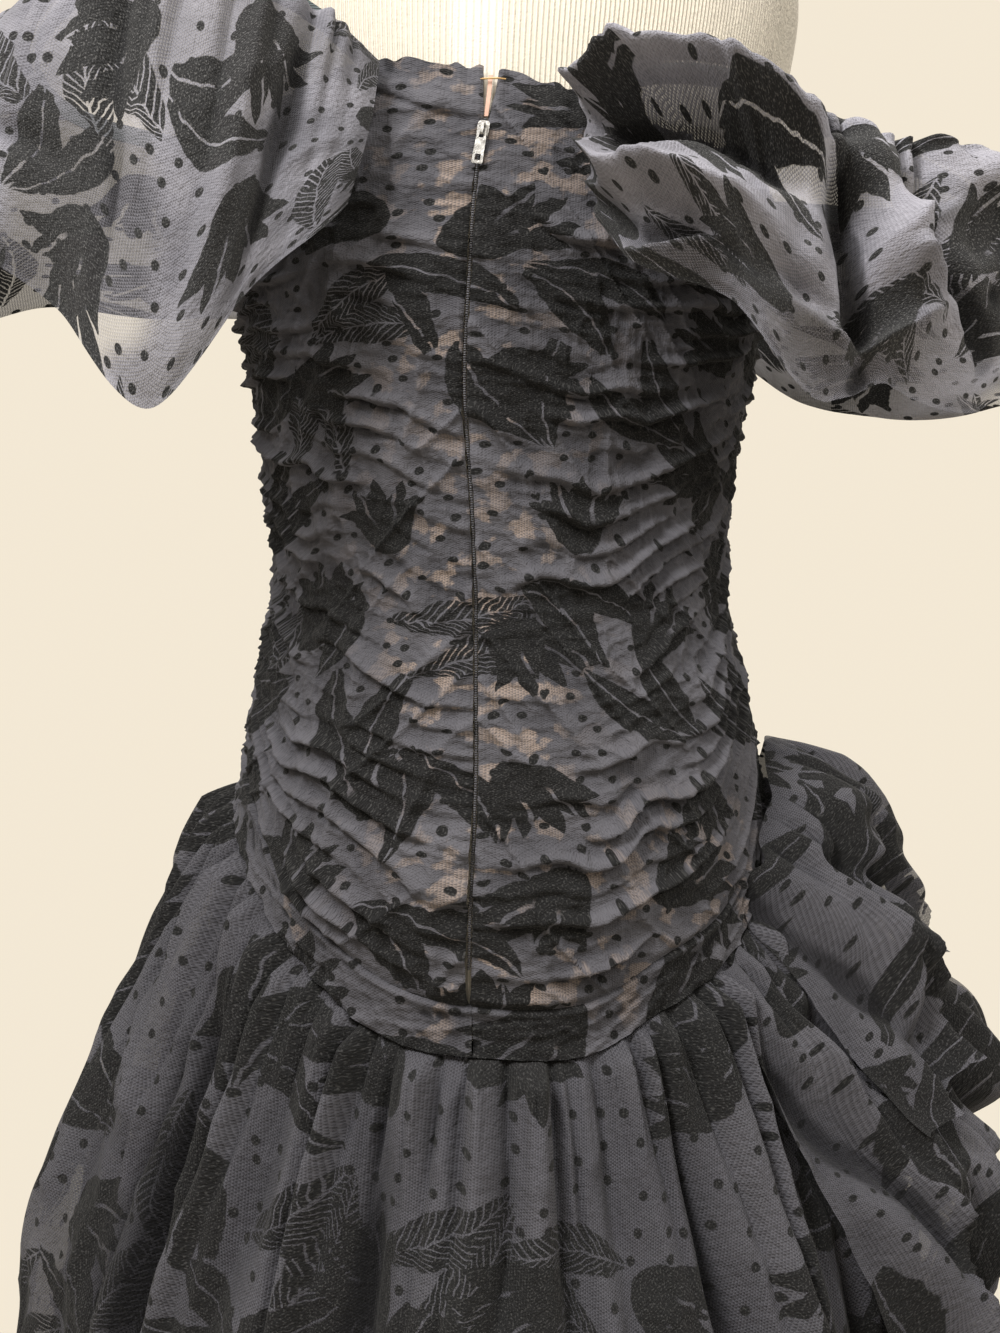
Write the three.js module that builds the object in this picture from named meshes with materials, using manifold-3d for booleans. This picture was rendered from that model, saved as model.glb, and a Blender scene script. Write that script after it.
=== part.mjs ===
// A ball gown of flocked net, worn by a limbless dress form on a stand.
// Millimetres, +Z up. The back of the gown faces -Y, and +X is to the right of someone who looks at it.
// Angles run round the figure from the centre back, 0, to the right side, 90, and the centre front, 180.
import * as THREE from "three";
import Module from "manifold-3d";

const wasm = await Module();
wasm.setup();

// Driving sizes
const clothWall = 2.2;
const seamGap = 0.6;
const ease = 4;
const topEase = 0.9;
const hemHeight = 15;
const rucheFolds = 22;
const rucheHeight = 5.5;
const squareness = 2.3;
const veePitch = 11.25;
const gatherPitch = 3.75;
const formFoot = 785;
const neckTop = 1570;
const poleRadius = 14;
const baseRadius = 190;
const baseThickness = 14;
const zipTop = 1331;
const zipFoot = 823;
const zipWidth = 2.2;
const tabAxisHeight = 1318;

// The figure under the gown: half its width and depth at each height, and how far its middle lies forward.
const figure = [
  { z: 785, halfWidth: 160, halfDepth: 108, forward: 4 },
  { z: 860, halfWidth: 165, halfDepth: 116, forward: 2 },
  { z: 940, halfWidth: 157, halfDepth: 110, forward: 2 },
  { z: 985, halfWidth: 151, halfDepth: 102, forward: 0 },
  { z: 1025, halfWidth: 142, halfDepth: 95, forward: 0 },
  { z: 1055, halfWidth: 137, halfDepth: 92, forward: 0 },
  { z: 1100, halfWidth: 139, halfDepth: 96, forward: 0 },
  { z: 1153, halfWidth: 146, halfDepth: 105, forward: 3 },
  { z: 1218, halfWidth: 159, halfDepth: 117, forward: 8 },
  { z: 1260, halfWidth: 165, halfDepth: 119, forward: 9 },
  { z: 1310, halfWidth: 172, halfDepth: 110, forward: 5 },
  { z: 1370, halfWidth: 183, halfDepth: 100, forward: 2 },
  { z: 1420, halfWidth: 190, halfDepth: 88, forward: 0 },
  { z: 1450, halfWidth: 181, halfDepth: 76, forward: -2 },
  { z: 1472, halfWidth: 140, halfDepth: 66, forward: -3 },
  { z: 1488, halfWidth: 92, halfDepth: 60, forward: -2 },
  { z: 1505, halfWidth: 64, halfDepth: 55, forward: 0 },
  { z: 1530, halfWidth: 57, halfDepth: 52, forward: 2 },
  { z: 1570, halfWidth: 55, halfDepth: 51, forward: 6 },
];

// The bodice's top edge, the V seam under the ruching, and the seam that the skirt is gathered into.
const seams = [
  { angle: -180, top: 1316, vee: 812, gather: 784 },
  { angle: -150, top: 1322, vee: 842, gather: 815 },
  { angle: -120, top: 1312, vee: 915, gather: 890 },
  { angle: -90, top: 1298, vee: 958, gather: 932 },
  { angle: -60, top: 1325, vee: 924, gather: 893 },
  { angle: -36, top: 1352, vee: 864, gather: 832 },
  { angle: -16, top: 1366, vee: 822, gather: 788 },
  { angle: 0, top: 1358, vee: 806, gather: 777 },
  { angle: 20, top: 1338, vee: 809, gather: 779 },
  { angle: 36, top: 1322, vee: 834, gather: 803 },
  { angle: 54, top: 1314, vee: 858, gather: 829 },
  { angle: 68, top: 1308, vee: 892, gather: 866 },
  { angle: 80, top: 1299, vee: 940, gather: 915 },
  { angle: 90, top: 1296, vee: 962, gather: 936 },
  { angle: 120, top: 1310, vee: 920, gather: 895 },
  { angle: 150, top: 1322, vee: 845, gather: 818 },
  { angle: 180, top: 1316, vee: 812, gather: 784 },
];

// Where the zip lies: how far it wanders from the middle, and half the gap that it closes.
const zipLine = [
  { z: 800, x: -2, half: 0.2 },
  { z: 808, x: -2, half: 0.2 },
  { z: 815, x: -2, half: 1.7 },
  { z: 870, x: 0, half: 1.7 },
  { z: 940, x: 2, half: 1.7 },
  { z: 1030, x: 0, half: 1.7 },
  { z: 1100, x: -2, half: 1.7 },
  { z: 1170, x: -5, half: 1.7 },
  { z: 1240, x: -1, half: 1.7 },
  { z: 1290, x: 2, half: 1.7 },
  { z: 1326, x: 7, half: 1.7 },
  { z: 1345, x: 9, half: 4 },
  { z: 1365, x: 10, half: 5 },
];

// How far the skirt stands out from the figure at each drop below its seam, on the folds' crests.
const flare = [
  { drop: 0, out: 7 },
  { drop: 15, out: 20 },
  { drop: 40, out: 36 },
  { drop: 65, out: 48 },
  { drop: 100, out: 65 },
  { drop: 132, out: 81 },
  { drop: 185, out: 104 },
  { drop: 231, out: 119 },
  { drop: 284, out: 129 },
  { drop: 368, out: 149 },
  { drop: 500, out: 184 },
  { drop: 700, out: 240 },
  { drop: 930, out: 300 },
];

// The skirt's deep furrows: their angles at the seam and where they hang free, and their depth.
const furrows = [
  { seam: -160, low: -158, depth: 34 },
  { seam: -137, low: -133, depth: 40 },
  { seam: -112, low: -110, depth: 34 },
  { seam: -84, low: -82, depth: 26 },
  { seam: -54, low: -41, depth: 40 },
  { seam: -33, low: -27, depth: 12 },
  { seam: -16, low: -8, depth: 34 },
  { seam: 5, low: 6, depth: 12 },
  { seam: 21, low: 20, depth: 14 },
  { seam: 32, low: 36, depth: 38 },
  { seam: 51, low: 55, depth: 26 },
  { seam: 74, low: 76, depth: 30 },
  { seam: 100, low: 100, depth: 26 },
  { seam: 126, low: 124, depth: 36 },
  { seam: 150, low: 146, depth: 38 },
  { seam: 176, low: 176, depth: 30 },
];

// The long drape on the right hip, at each drop below the gathered seam. Its back edge sweeps forward as it falls.
const longDrape = {
  from: 48,
  to: 150,
  sweep: 10,
  rows: [
    { drop: 0, out: 11 },
    { drop: 20, out: 22 },
    { drop: 50, out: 45 },
    { drop: 84, out: 72 },
    { drop: 110, out: 100 },
    { drop: 130, out: 132 },
    { drop: 155, out: 149 },
    { drop: 195, out: 152 },
    { drop: 216, out: 141 },
    { drop: 257, out: 142 },
    { drop: 285, out: 110 },
    { drop: 320, out: 108 },
    { drop: 365, out: 116 },
    { drop: 455, out: 138 },
  ],
  furrows: [
    { seam: 54, low: 56, depth: 13 },
    { seam: 63, low: 68, depth: 22 },
    { seam: 73, low: 79, depth: 20 },
    { seam: 85, low: 90, depth: 24 },
    { seam: 97, low: 101, depth: 20 },
    { seam: 109, low: 112, depth: 24 },
    { seam: 122, low: 124, depth: 20 },
    { seam: 136, low: 137, depth: 16 },
  ],
};

// The short puff over it, at each drop below the V seam.
const shortPuff = {
  from: 62,
  to: 140,
  sweep: 4,
  rows: [
    { drop: 0, out: 11 },
    { drop: 4, out: 38 },
    { drop: 15, out: 66 },
    { drop: 36, out: 88 },
    { drop: 70, out: 107 },
    { drop: 102, out: 115 },
    { drop: 124, out: 117 },
    { drop: 136, out: 112 },
  ],
  furrows: [
    { seam: 71, low: 74, depth: 16 },
    { seam: 80, low: 83, depth: 18 },
    { seam: 89, low: 91, depth: 20 },
    { seam: 99, low: 100, depth: 16 },
    { seam: 110, low: 110, depth: 20 },
    { seam: 121, low: 120, depth: 18 },
    { seam: 131, low: 130, depth: 12 },
  ],
};

// The sleeves, round the arm from back to front: the point on the band, the point on the hem under it,
// and how far the cloth puffs out between them.
const leftSleeve = [
  { x: -56, y: -108.9, z: 1362, hemX: -66, hemY: -150, hemZ: 1268, puff: 6 },
  { x: -95, y: -128, z: 1396, hemX: -116, hemY: -182, hemZ: 1212, puff: 16 },
  { x: -140, y: -138, z: 1414, hemX: -168, hemY: -200, hemZ: 1146, puff: 24 },
  { x: -190, y: -138, z: 1420, hemX: -228, hemY: -176, hemZ: 1206, puff: 26 },
  { x: -245, y: -116, z: 1412, hemX: -290, hemY: -150, hemZ: 1246, puff: 30 },
  { x: -288, y: -68, z: 1398, hemX: -345, hemY: -98, hemZ: 1240, puff: 26 },
  { x: -304, y: 0, z: 1388, hemX: -366, hemY: -5, hemZ: 1228, puff: 28 },
  { x: -288, y: 66, z: 1386, hemX: -345, hemY: 92, hemZ: 1262, puff: 28 },
  { x: -240, y: 118, z: 1384, hemX: -276, hemY: 166, hemZ: 1266, puff: 28 },
  { x: -185, y: 148, z: 1374, hemX: -206, hemY: 196, hemZ: 1270, puff: 24 },
  { x: -134, y: 142, z: 1354, hemX: -142, hemY: 178, hemZ: 1266, puff: 14 },
  { x: -92, y: 121, z: 1326, hemX: -98, hemY: 138, hemZ: 1264, puff: 6 },
];
const rightSleeve = [
  { x: 62, y: -106.6, z: 1344, hemX: 80, hemY: -136, hemZ: 1272, puff: 8 },
  { x: 98, y: -128, z: 1348, hemX: 100, hemY: -168, hemZ: 1224, puff: 22 },
  { x: 146, y: -136, z: 1342, hemX: 150, hemY: -172, hemZ: 1204, puff: 30 },
  { x: 190, y: -132, z: 1322, hemX: 194, hemY: -170, hemZ: 1150, puff: 28 },
  { x: 230, y: -112, z: 1306, hemX: 232, hemY: -136, hemZ: 1160, puff: 24 },
  { x: 264, y: -74, z: 1302, hemX: 276, hemY: -84, hemZ: 1150, puff: 34 },
  { x: 296, y: -16, z: 1300, hemX: 322, hemY: -22, hemZ: 1170, puff: 36 },
  { x: 290, y: 50, z: 1306, hemX: 318, hemY: 62, hemZ: 1172, puff: 34 },
  { x: 248, y: 106, z: 1316, hemX: 268, hemY: 150, hemZ: 1178, puff: 32 },
  { x: 188, y: 138, z: 1330, hemX: 200, hemY: 184, hemZ: 1196, puff: 28 },
  { x: 138, y: 140, z: 1332, hemX: 142, hemY: 172, hemZ: 1228, puff: 16 },
  { x: 96, y: 121, z: 1324, hemX: 98, hemY: 138, hemZ: 1250, puff: 6 },
];
const armCentre = { left: [-185, 0], right: [185, 0] };

// Colours, as red, green and blue in linear light
const looks = {
  net: { color: [0.035, 0.036, 0.042], roughness: 0.85, metalness: 0 },
  form: { color: [0.78, 0.68, 0.52], roughness: 0.9, metalness: 0 },
  steel: { color: [0.55, 0.54, 0.52], roughness: 0.3, metalness: 1 },
  tape: { color: [0.02, 0.02, 0.025], roughness: 0.8, metalness: 0 },
  lining: { color: [0.42, 0.27, 0.2], roughness: 0.7, metalness: 0 },
  stand: { color: [0.05, 0.05, 0.05], roughness: 0.4, metalness: 1 },
};

const gown = new THREE.Group();

// Adds a named sub-part with its own material.
function add(name, geometry, look, parent = gown) {
  const { color, roughness, metalness } = looks[look];
  const material = new THREE.MeshStandardMaterial({ roughness, metalness });
  material.color.setRGB(...color);
  const mesh = new THREE.Mesh(geometry, material);
  mesh.name = name;
  parent.add(mesh);
  return mesh;
}

// Reads a column of a table along a smooth curve through its rows.
function read(table, by, column, at) {
  const last = table.length - 1;
  if (at <= table[0][by]) return table[0][column];
  if (at >= table[last][by]) return table[last][column];
  let i = 0;
  while (at > table[i + 1][by]) i++;
  const slope = (a, b) => (table[b][column] - table[a][column]) / (table[b][by] - table[a][by]);
  const span = table[i + 1][by] - table[i][by];
  const start = slope(Math.max(i - 1, 0), i + 1) * span;
  const end = slope(i, Math.min(i + 2, last)) * span;
  const t = (at - table[i][by]) / span;
  const [a, b] = [table[i][column], table[i + 1][column]];
  return (
    a * (1 + 2 * t) * (1 - t) ** 2 + b * t * t * (3 - 2 * t) + start * t * (1 - t) ** 2 - end * t * t * (1 - t)
  );
}

// Geometry from points and triangles, turned so that its faces point out.
function geometryOf(points, triangles) {
  const p = points.map((v) => v.toArray());
  let volume = 0;
  for (const [a, b, c] of triangles) {
    const [u, v, w] = [p[a], p[b], p[c]];
    volume +=
      u[0] * (v[1] * w[2] - v[2] * w[1]) + u[1] * (v[2] * w[0] - v[0] * w[2]) + u[2] * (v[0] * w[1] - v[1] * w[0]);
  }
  const facing = volume > 0 ? triangles : triangles.map(([a, b, c]) => [a, c, b]);
  const geometry = new THREE.BufferGeometry();
  geometry.setAttribute("position", new THREE.Float32BufferAttribute(p.flat(), 3));
  geometry.setIndex(facing.flat());
  geometry.computeVertexNormals();
  return geometry;
}

// A wall of cloth between two grids, each a list of columns of points. The inside may have fewer rows.
function wallBetween(outside, inside) {
  const points = [];
  const place = (grid) => grid.map((column) => column.map((v) => points.push(v) - 1));
  const out = place(outside);
  const into = place(inside);
  const triangles = [];
  const quad = (a, b, c, d) => triangles.push([a, b, c], [a, c, d]);
  const columns = out.length - 1;
  for (let c = 0; c < columns; c++) {
    for (let r = 0; r + 1 < out[c].length; r++) quad(out[c][r], out[c][r + 1], out[c + 1][r + 1], out[c + 1][r]);
    for (let r = 0; r + 1 < into[c].length; r++) quad(into[c][r], into[c + 1][r], into[c + 1][r + 1], into[c][r + 1]);
    quad(out[c][0], out[c + 1][0], into[c + 1][0], into[c][0]);
    quad(out[c].at(-1), into[c].at(-1), into[c + 1].at(-1), out[c + 1].at(-1));
  }
  for (const [c, turned] of [
    [0, false],
    [columns, true],
  ]) {
    const [a, b] = [out[c], into[c]];
    let [i, j] = [0, 0];
    while (i < a.length - 1 || j < b.length - 1) {
      const stepOut = j === b.length - 1 || (i < a.length - 1 && i / (a.length - 1) <= j / (b.length - 1));
      const face = stepOut ? [a[i], b[j], a[++i]] : [a[i], b[j], b[++j]];
      triangles.push(turned ? [face[0], face[2], face[1]] : face);
    }
  }
  return geometryOf(points, triangles);
}

// A solid through closed sections of equal numbers of points, with both ends closed flat.
function loft(sections) {
  const points = sections.flat();
  const n = sections[0].length;
  const triangles = [];
  for (let s = 0; s + 1 < sections.length; s++)
    for (let i = 0; i < n; i++) {
      const [a, b] = [s * n + i, s * n + ((i + 1) % n)];
      triangles.push([a, b, b + n], [a, b + n, a + n]);
    }
  const top = points.length - n;
  for (let i = 1; i + 1 < n; i++) triangles.push([0, i + 1, i], [top, top + i, top + i + 1]);
  return geometryOf(points, triangles);
}

const radians = (degrees) => (degrees * Math.PI) / 180;
const steps = (n) => Array.from({ length: n + 1 }, (_, i) => i / n);
const signedPower = (v, power) => Math.sign(v) * Math.abs(v) ** power;

// A point on the figure's section at one height, moved out. The skirt passes the height of its own seam.
function around(angle, out, sectionHeight, z = sectionHeight) {
  const width = read(figure, "z", "halfWidth", sectionHeight) + out;
  const depth = read(figure, "z", "halfDepth", sectionHeight) + out;
  const power = 2 / squareness;
  return new THREE.Vector3(
    width * signedPower(Math.sin(radians(angle)), power),
    read(figure, "z", "forward", sectionHeight) - depth * signedPower(Math.cos(radians(angle)), power),
    z,
  );
}

// The angle round the figure of a point near the centre back that lies x from the middle.
function angleAtX(x, z) {
  const share = x / read(figure, "z", "halfWidth", z);
  return (Math.asin(signedPower(share, squareness / 2)) * 180) / Math.PI;
}

// A seam's height. It runs straight between the angles where the panels beside it have their columns.
function seamHeight(column, angle) {
  const pitch = column === "gather" ? gatherPitch : veePitch;
  const at = (steps) => read(seams, "angle", column, ((steps * pitch + 540) % 360) - 180);
  const whole = Math.floor(angle / pitch);
  return THREE.MathUtils.lerp(at(whole), at(whole + 1), angle / pitch - whole);
}

// Dress form, neck cap, pole and base
function standAndForm() {
  const ringPoints = 360 / veePitch;
  const ring = (z) => steps(ringPoints).slice(1).map((t) => around(360 * t, 0, z));
  const heights = [];
  for (let i = 0; i + 1 < figure.length; i++) {
    heights.push(figure[i].z);
    if (figure[i + 1].z - figure[i].z > 58) heights.push((figure[i].z + figure[i + 1].z) / 2);
  }
  heights.push(neckTop);
  add("dress_form", loft(heights.map(ring)), "form");

  const capRadius = 56;
  const turned = (profile, segments) => {
    const geometry = new THREE.LatheGeometry(
      profile.map(([r, z]) => new THREE.Vector2(r, z)),
      segments,
    );
    return geometry.rotateX(Math.PI / 2);
  };
  const cap = turned(
    [[0, 0], [capRadius, 0], [capRadius + 2, 4], [capRadius, 9], [20, 13], [9, 18], [9, 24], [15, 31], [11, 39], [0, 42]],
    16,
  );
  add("neck_cap", cap, "stand").position.set(0, 6, neckTop + seamGap);

  const poleFoot = baseThickness + seamGap;
  const pole = new THREE.CylinderGeometry(poleRadius, poleRadius, formFoot - seamGap - poleFoot, 20);
  add("stand_pole", pole.rotateX(Math.PI / 2), "stand").position.z = (formFoot - seamGap + poleFoot) / 2;
  const base = turned(
    [[0, 0], [baseRadius, 0], [baseRadius, 5], [baseRadius - 6, 9], [40, baseThickness], [0, baseThickness]],
    36,
  );
  add("stand_base", base, "stand");
}

// The ruching's fold lines wander a little, so that no two run alike. Even lines are furrows, odd ones ridges.
function foldLine(line, angle) {
  const lines = 2 * rucheFolds;
  const wander = 0.34 * Math.sin(1.7 * line + 2.3 * radians(angle)) + 0.1 * Math.sin(4.1 * line + 3 * radians(angle));
  return (line + wander * Math.sin((Math.PI * line) / lines)) / lines;
}

function ridgeHeight(line, angle, fromZip) {
  const uneven = 0.62 + 0.38 * Math.sin(2.4 * line + 1.9 * radians(angle));
  const flatByZip = THREE.MathUtils.smoothstep(fromZip, 4, 40);
  return rucheHeight * uneven * (0.22 + 0.78 * flatByZip);
}

// A ruched panel between two edges. The edge at the zip is an angle that changes with height.
function ruchedPanel(name, edgeAngle, endAngle, columns) {
  const lines = 2 * rucheFolds;
  const insideRows = 8;
  const lastTurn = 0.1;
  const column = (c, rows, height) => {
    const whole = endAngle - Math.sign(endAngle) * veePitch * (columns - c);
    const angleAt = (z) => {
      if (c === 0) return edgeAngle(z);
      return c === columns ? whole - Math.sign(endAngle) * lastTurn : whole;
    };
    const top = seamHeight("top", angleAt(1350));
    const foot = seamHeight("vee", angleAt(806)) + seamGap / 2;
    return rows.map((row) => {
      const z = top + (foot - top) * row.down(angleAt(1050));
      return around(angleAt(z), height(row, angleAt(z), z), z);
    });
  };
  const outer = steps(lines).map((_, line) => ({ line, down: (angle) => foldLine(line, angle) }));
  const inner = steps(insideRows).map((t) => ({ down: () => t }));
  // The top edge lies close against the figure.
  const easeAt = (down) => topEase + (ease - topEase) * Math.min(1, down * insideRows);
  const outerHeight = ({ line }, angle, z) => {
    const fromZip = Math.abs(around(angle, 0, z).x) + (Math.abs(angle) > 90 ? 100 : 0);
    return easeAt(line / lines) + clothWall + (line % 2 ? ridgeHeight(line, angle, fromZip) : 0);
  };
  const counted = steps(columns).map((_, c) => c);
  add(
    name,
    wallBetween(
      counted.map((c) => column(c, outer, outerHeight)),
      counted.map((c) => column(c, inner, (row) => easeAt(row.down()))),
    ),
    "net",
  );
}

function bodice() {
  const zipSide = (side) => (z) =>
    angleAtX(read(zipLine, "z", "x", z) + side * read(zipLine, "z", "half", z), z);
  ruchedPanel("bodice_back_left", zipSide(-1), -90, 8);
  ruchedPanel("bodice_back_right", zipSide(1), 90, 8);
  ruchedPanel("bodice_front", () => 90.1, 270, 16);
}

// A plain or gathered panel from angle to angle, through rows below a seam. Its side edges may be held back a little.
function hangingWall(name, from, to, columns, rows, pointAt, back = 0) {
  const angles = steps(columns).map((s) => THREE.MathUtils.clamp(from + s * (to - from), from + back, to - back));
  const grid = (inset) => angles.map((angle, c) => rows.map((row) => pointAt(angle, row, inset, c)));
  add(name, wallBetween(grid(0), grid(clothWall)), "net");
}

function hipYoke() {
  const half = 0.1;
  const point = (angle, down, inset) => {
    const top = seamHeight("vee", angle) - seamGap;
    const foot = seamHeight("gather", angle) + seamGap / 2;
    const z = top + (foot - top) * down;
    return around(angle, ease + clothWall + 0.8 - inset, z);
  };
  const rows = [0, 1];
  hangingWall("yoke_back_left", -90, 0, 24, rows, point, half);
  hangingWall("yoke_back_right", 0, 90, 24, rows, point, half);
  hangingWall("yoke_front", 90, 270, 48, rows, point, half);
}

// How deep the furrows cut at an angle. Each starts at its seam angle and swings to where it hangs.
function furrowDepth(table, angle, drop, ramp) {
  const swing = 110;
  const narrow = 3.6;
  const wide = 5.2;
  const settled = Math.exp(-drop / swing);
  const growth = 1 - Math.exp(-drop / ramp);
  const width = narrow + (wide - narrow) * growth;
  return table.reduce((sum, f) => {
    const middle = f.low + (f.seam - f.low) * settled;
    const off = ((angle - middle + 540) % 360) - 180;
    return sum + f.depth * growth * Math.exp(-((off / width) ** 2));
  }, 0);
}

// How far the skirt's crests stand out. It stands closer under the drape on the right hip.
function skirtOut(angle, drop) {
  const closer = 0.22 * Math.exp(-(((angle - 95) / 42) ** 2)) * (1 - THREE.MathUtils.smoothstep(drop, 350, 800));
  return flare[0].out + (read(flare, "drop", "out", drop) - flare[0].out) * (1 - closer);
}

function skirt() {
  const drops = [0, 0.03, 0.09, 0.17, 0.3, 0.48, 0.72, 1];
  const gatherDepth = 3;
  const gatherLength = 70;
  const point = (angle, share, inset, column) => {
    const seam = seamHeight("gather", angle) - seamGap / 2;
    const drop = share * (seam - hemHeight);
    const small = column % 2 ? gatherDepth * Math.exp(-drop / gatherLength) * Math.min(1, drop / 8) : 0;
    const cut = furrowDepth(furrows, angle, drop, 150) * Math.min(1, 0.55 + drop / 1300);
    return around(angle, skirtOut(angle, drop) - cut - small - inset, seam, seam - drop);
  };
  const half = 0.08;
  hangingWall("skirt_back", -90, 90, 48, drops, point, half);
  hangingWall("skirt_front", 90, 270, 48, drops, point, half);
}

// A draped piece that hangs over the skirt from the hip, closing towards what is under it at its two edges.
function hipDrape(name, drape, seam, columns) {
  const edge = 9;
  const layerAt = (drop) => clothWall + 0.7 + 3.3 * Math.min(1, drop / 40);
  const overYoke = ease + 2 * clothWall + 1.3;
  const point = (column, row, inset) => {
    const share = (drape.to - column) / (drape.to - drape.from);
    const angle = column + drape.sweep * share * THREE.MathUtils.smoothstep(row.drop, 0, 220);
    const skirtZ = seamHeight("gather", angle);
    const z = seamHeight(seam, column) - 0.6 - row.drop;
    const drop = Math.max(0, skirtZ - z);
    const layer = layerAt(drop);
    const overSkirt = skirtOut(angle, drop) + layer;
    const overLong = read(longDrape.rows, "drop", "out", drop) + layer;
    const aboveSkirt = THREE.MathUtils.clamp((z - skirtZ) / 20, 0, 1);
    const overBoth = THREE.MathUtils.lerp(Math.max(overSkirt + layer, overLong), overYoke, aboveSkirt);
    const floor = drape === longDrape ? overSkirt : overBoth;
    const open = THREE.MathUtils.smoothstep(Math.min(column - drape.from, drape.to - column), -1, edge);
    const full = Math.max(floor, row.out - furrowDepth(drape.furrows, column, row.drop, 45));
    return around(angle, floor + (full - floor) * open - inset, skirtZ, z);
  };
  hangingWall(name, drape.from, drape.to, columns, drape.rows, point);
}

// The cloth of a sleeve, as a surface over the way round the arm and the way down from its band.
function sleevePoint(table, centre, roll, along, down, inset) {
  const rows = table.map((row, i) => ({ ...row, i }));
  const at = along * (table.length - 1);
  const value = (column) => read(rows, "i", column, at);
  const band = new THREE.Vector3(value("x"), value("y"), value("z"));
  const hem = new THREE.Vector3(value("hemX"), value("hemY"), value("hemZ"));
  const outward = new THREE.Vector3(band.x - centre[0], band.y - centre[1], 0).normalize();
  const belly = Math.sin(Math.PI * Math.min(1, down * 1.02)) ** 0.8 * (1 - 0.35 * down);
  const rolled = 1 - roll * Math.exp(-(((down - 0.36) / 0.09) ** 2));
  const waves = 9;
  const wave = 5 * down * Math.sin(2 * Math.PI * waves * along + 1.3 * Math.sin(5 * along));
  const lift = value("puff") * 0.45 * Math.sin(Math.PI * Math.min(1, 2.4 * down)) * (down < 0.42 ? 1 : 0);
  const point = band.lerp(hem, down);
  point.addScaledVector(outward, value("puff") * belly * rolled + wave - inset);
  point.z += lift;
  return point;
}

function sleeve(side, table, roll) {
  const centre = armCentre[side];
  const columns = 31;
  const downs = [0, 0.07, 0.16, 0.27, 0.36, 0.46, 0.64, 0.82, 1];
  const grid = (inset) =>
    steps(columns).map((along) => downs.map((down) => sleevePoint(table, centre, roll, along, down, inset)));
  add(`sleeve_${side}`, wallBetween(grid(0), grid(clothWall)), "net");

  // The elastic band lies just inside the sleeve's top edge.
  const bandHeight = 12;
  const bandWall = 1.8;
  const section = (along) => {
    const near = sleevePoint(table, centre, 0, along, 0, clothWall + seamGap);
    const far = sleevePoint(table, centre, 0, along, 0, clothWall + seamGap + bandWall);
    const drop = new THREE.Vector3(0, 0, -bandHeight);
    return [near, far, far.clone().add(drop), near.clone().add(drop)];
  };
  add(`sleeve_band_${side}`, loft(steps(28).map(section)), "tape");
}

// Zip: the closed chain, the slider with its bridge, the tab that swings on it, the placket and the hook and eye
function solidOf({ points, triangles }) {
  const vertProperties = new Float32Array(points);
  return new wasm.Manifold(new wasm.Mesh({ numProp: 3, vertProperties, triVerts: new Uint32Array(triangles) }));
}

function solidOfGeometry(geometry) {
  const places = new Map();
  const points = [];
  const triangles = [];
  const position = (geometry.index ? geometry.toNonIndexed() : geometry).getAttribute("position");
  for (let i = 0; i < position.count; i++) {
    const v = [position.getX(i), position.getY(i), position.getZ(i)];
    const key = v.map((c) => c.toFixed(4)).join();
    if (!places.has(key)) {
      places.set(key, places.size);
      points.push(...v);
    }
    triangles.push(places.get(key));
  }
  return solidOf({ points, triangles });
}

function geometryOfSolid(solid) {
  const mesh = solid.getMesh();
  const geometry = new THREE.BufferGeometry();
  geometry.setAttribute("position", new THREE.BufferAttribute(mesh.vertProperties, 3));
  geometry.setIndex(new THREE.BufferAttribute(mesh.triVerts, 1));
  geometry.computeVertexNormals();
  return geometry;
}

function extrude(shape, depth) {
  const geometry = new THREE.ExtrudeGeometry(shape, { depth, bevelEnabled: false, curveSegments: 6 });
  return geometry.translate(0, 0, -depth / 2);
}

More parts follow.
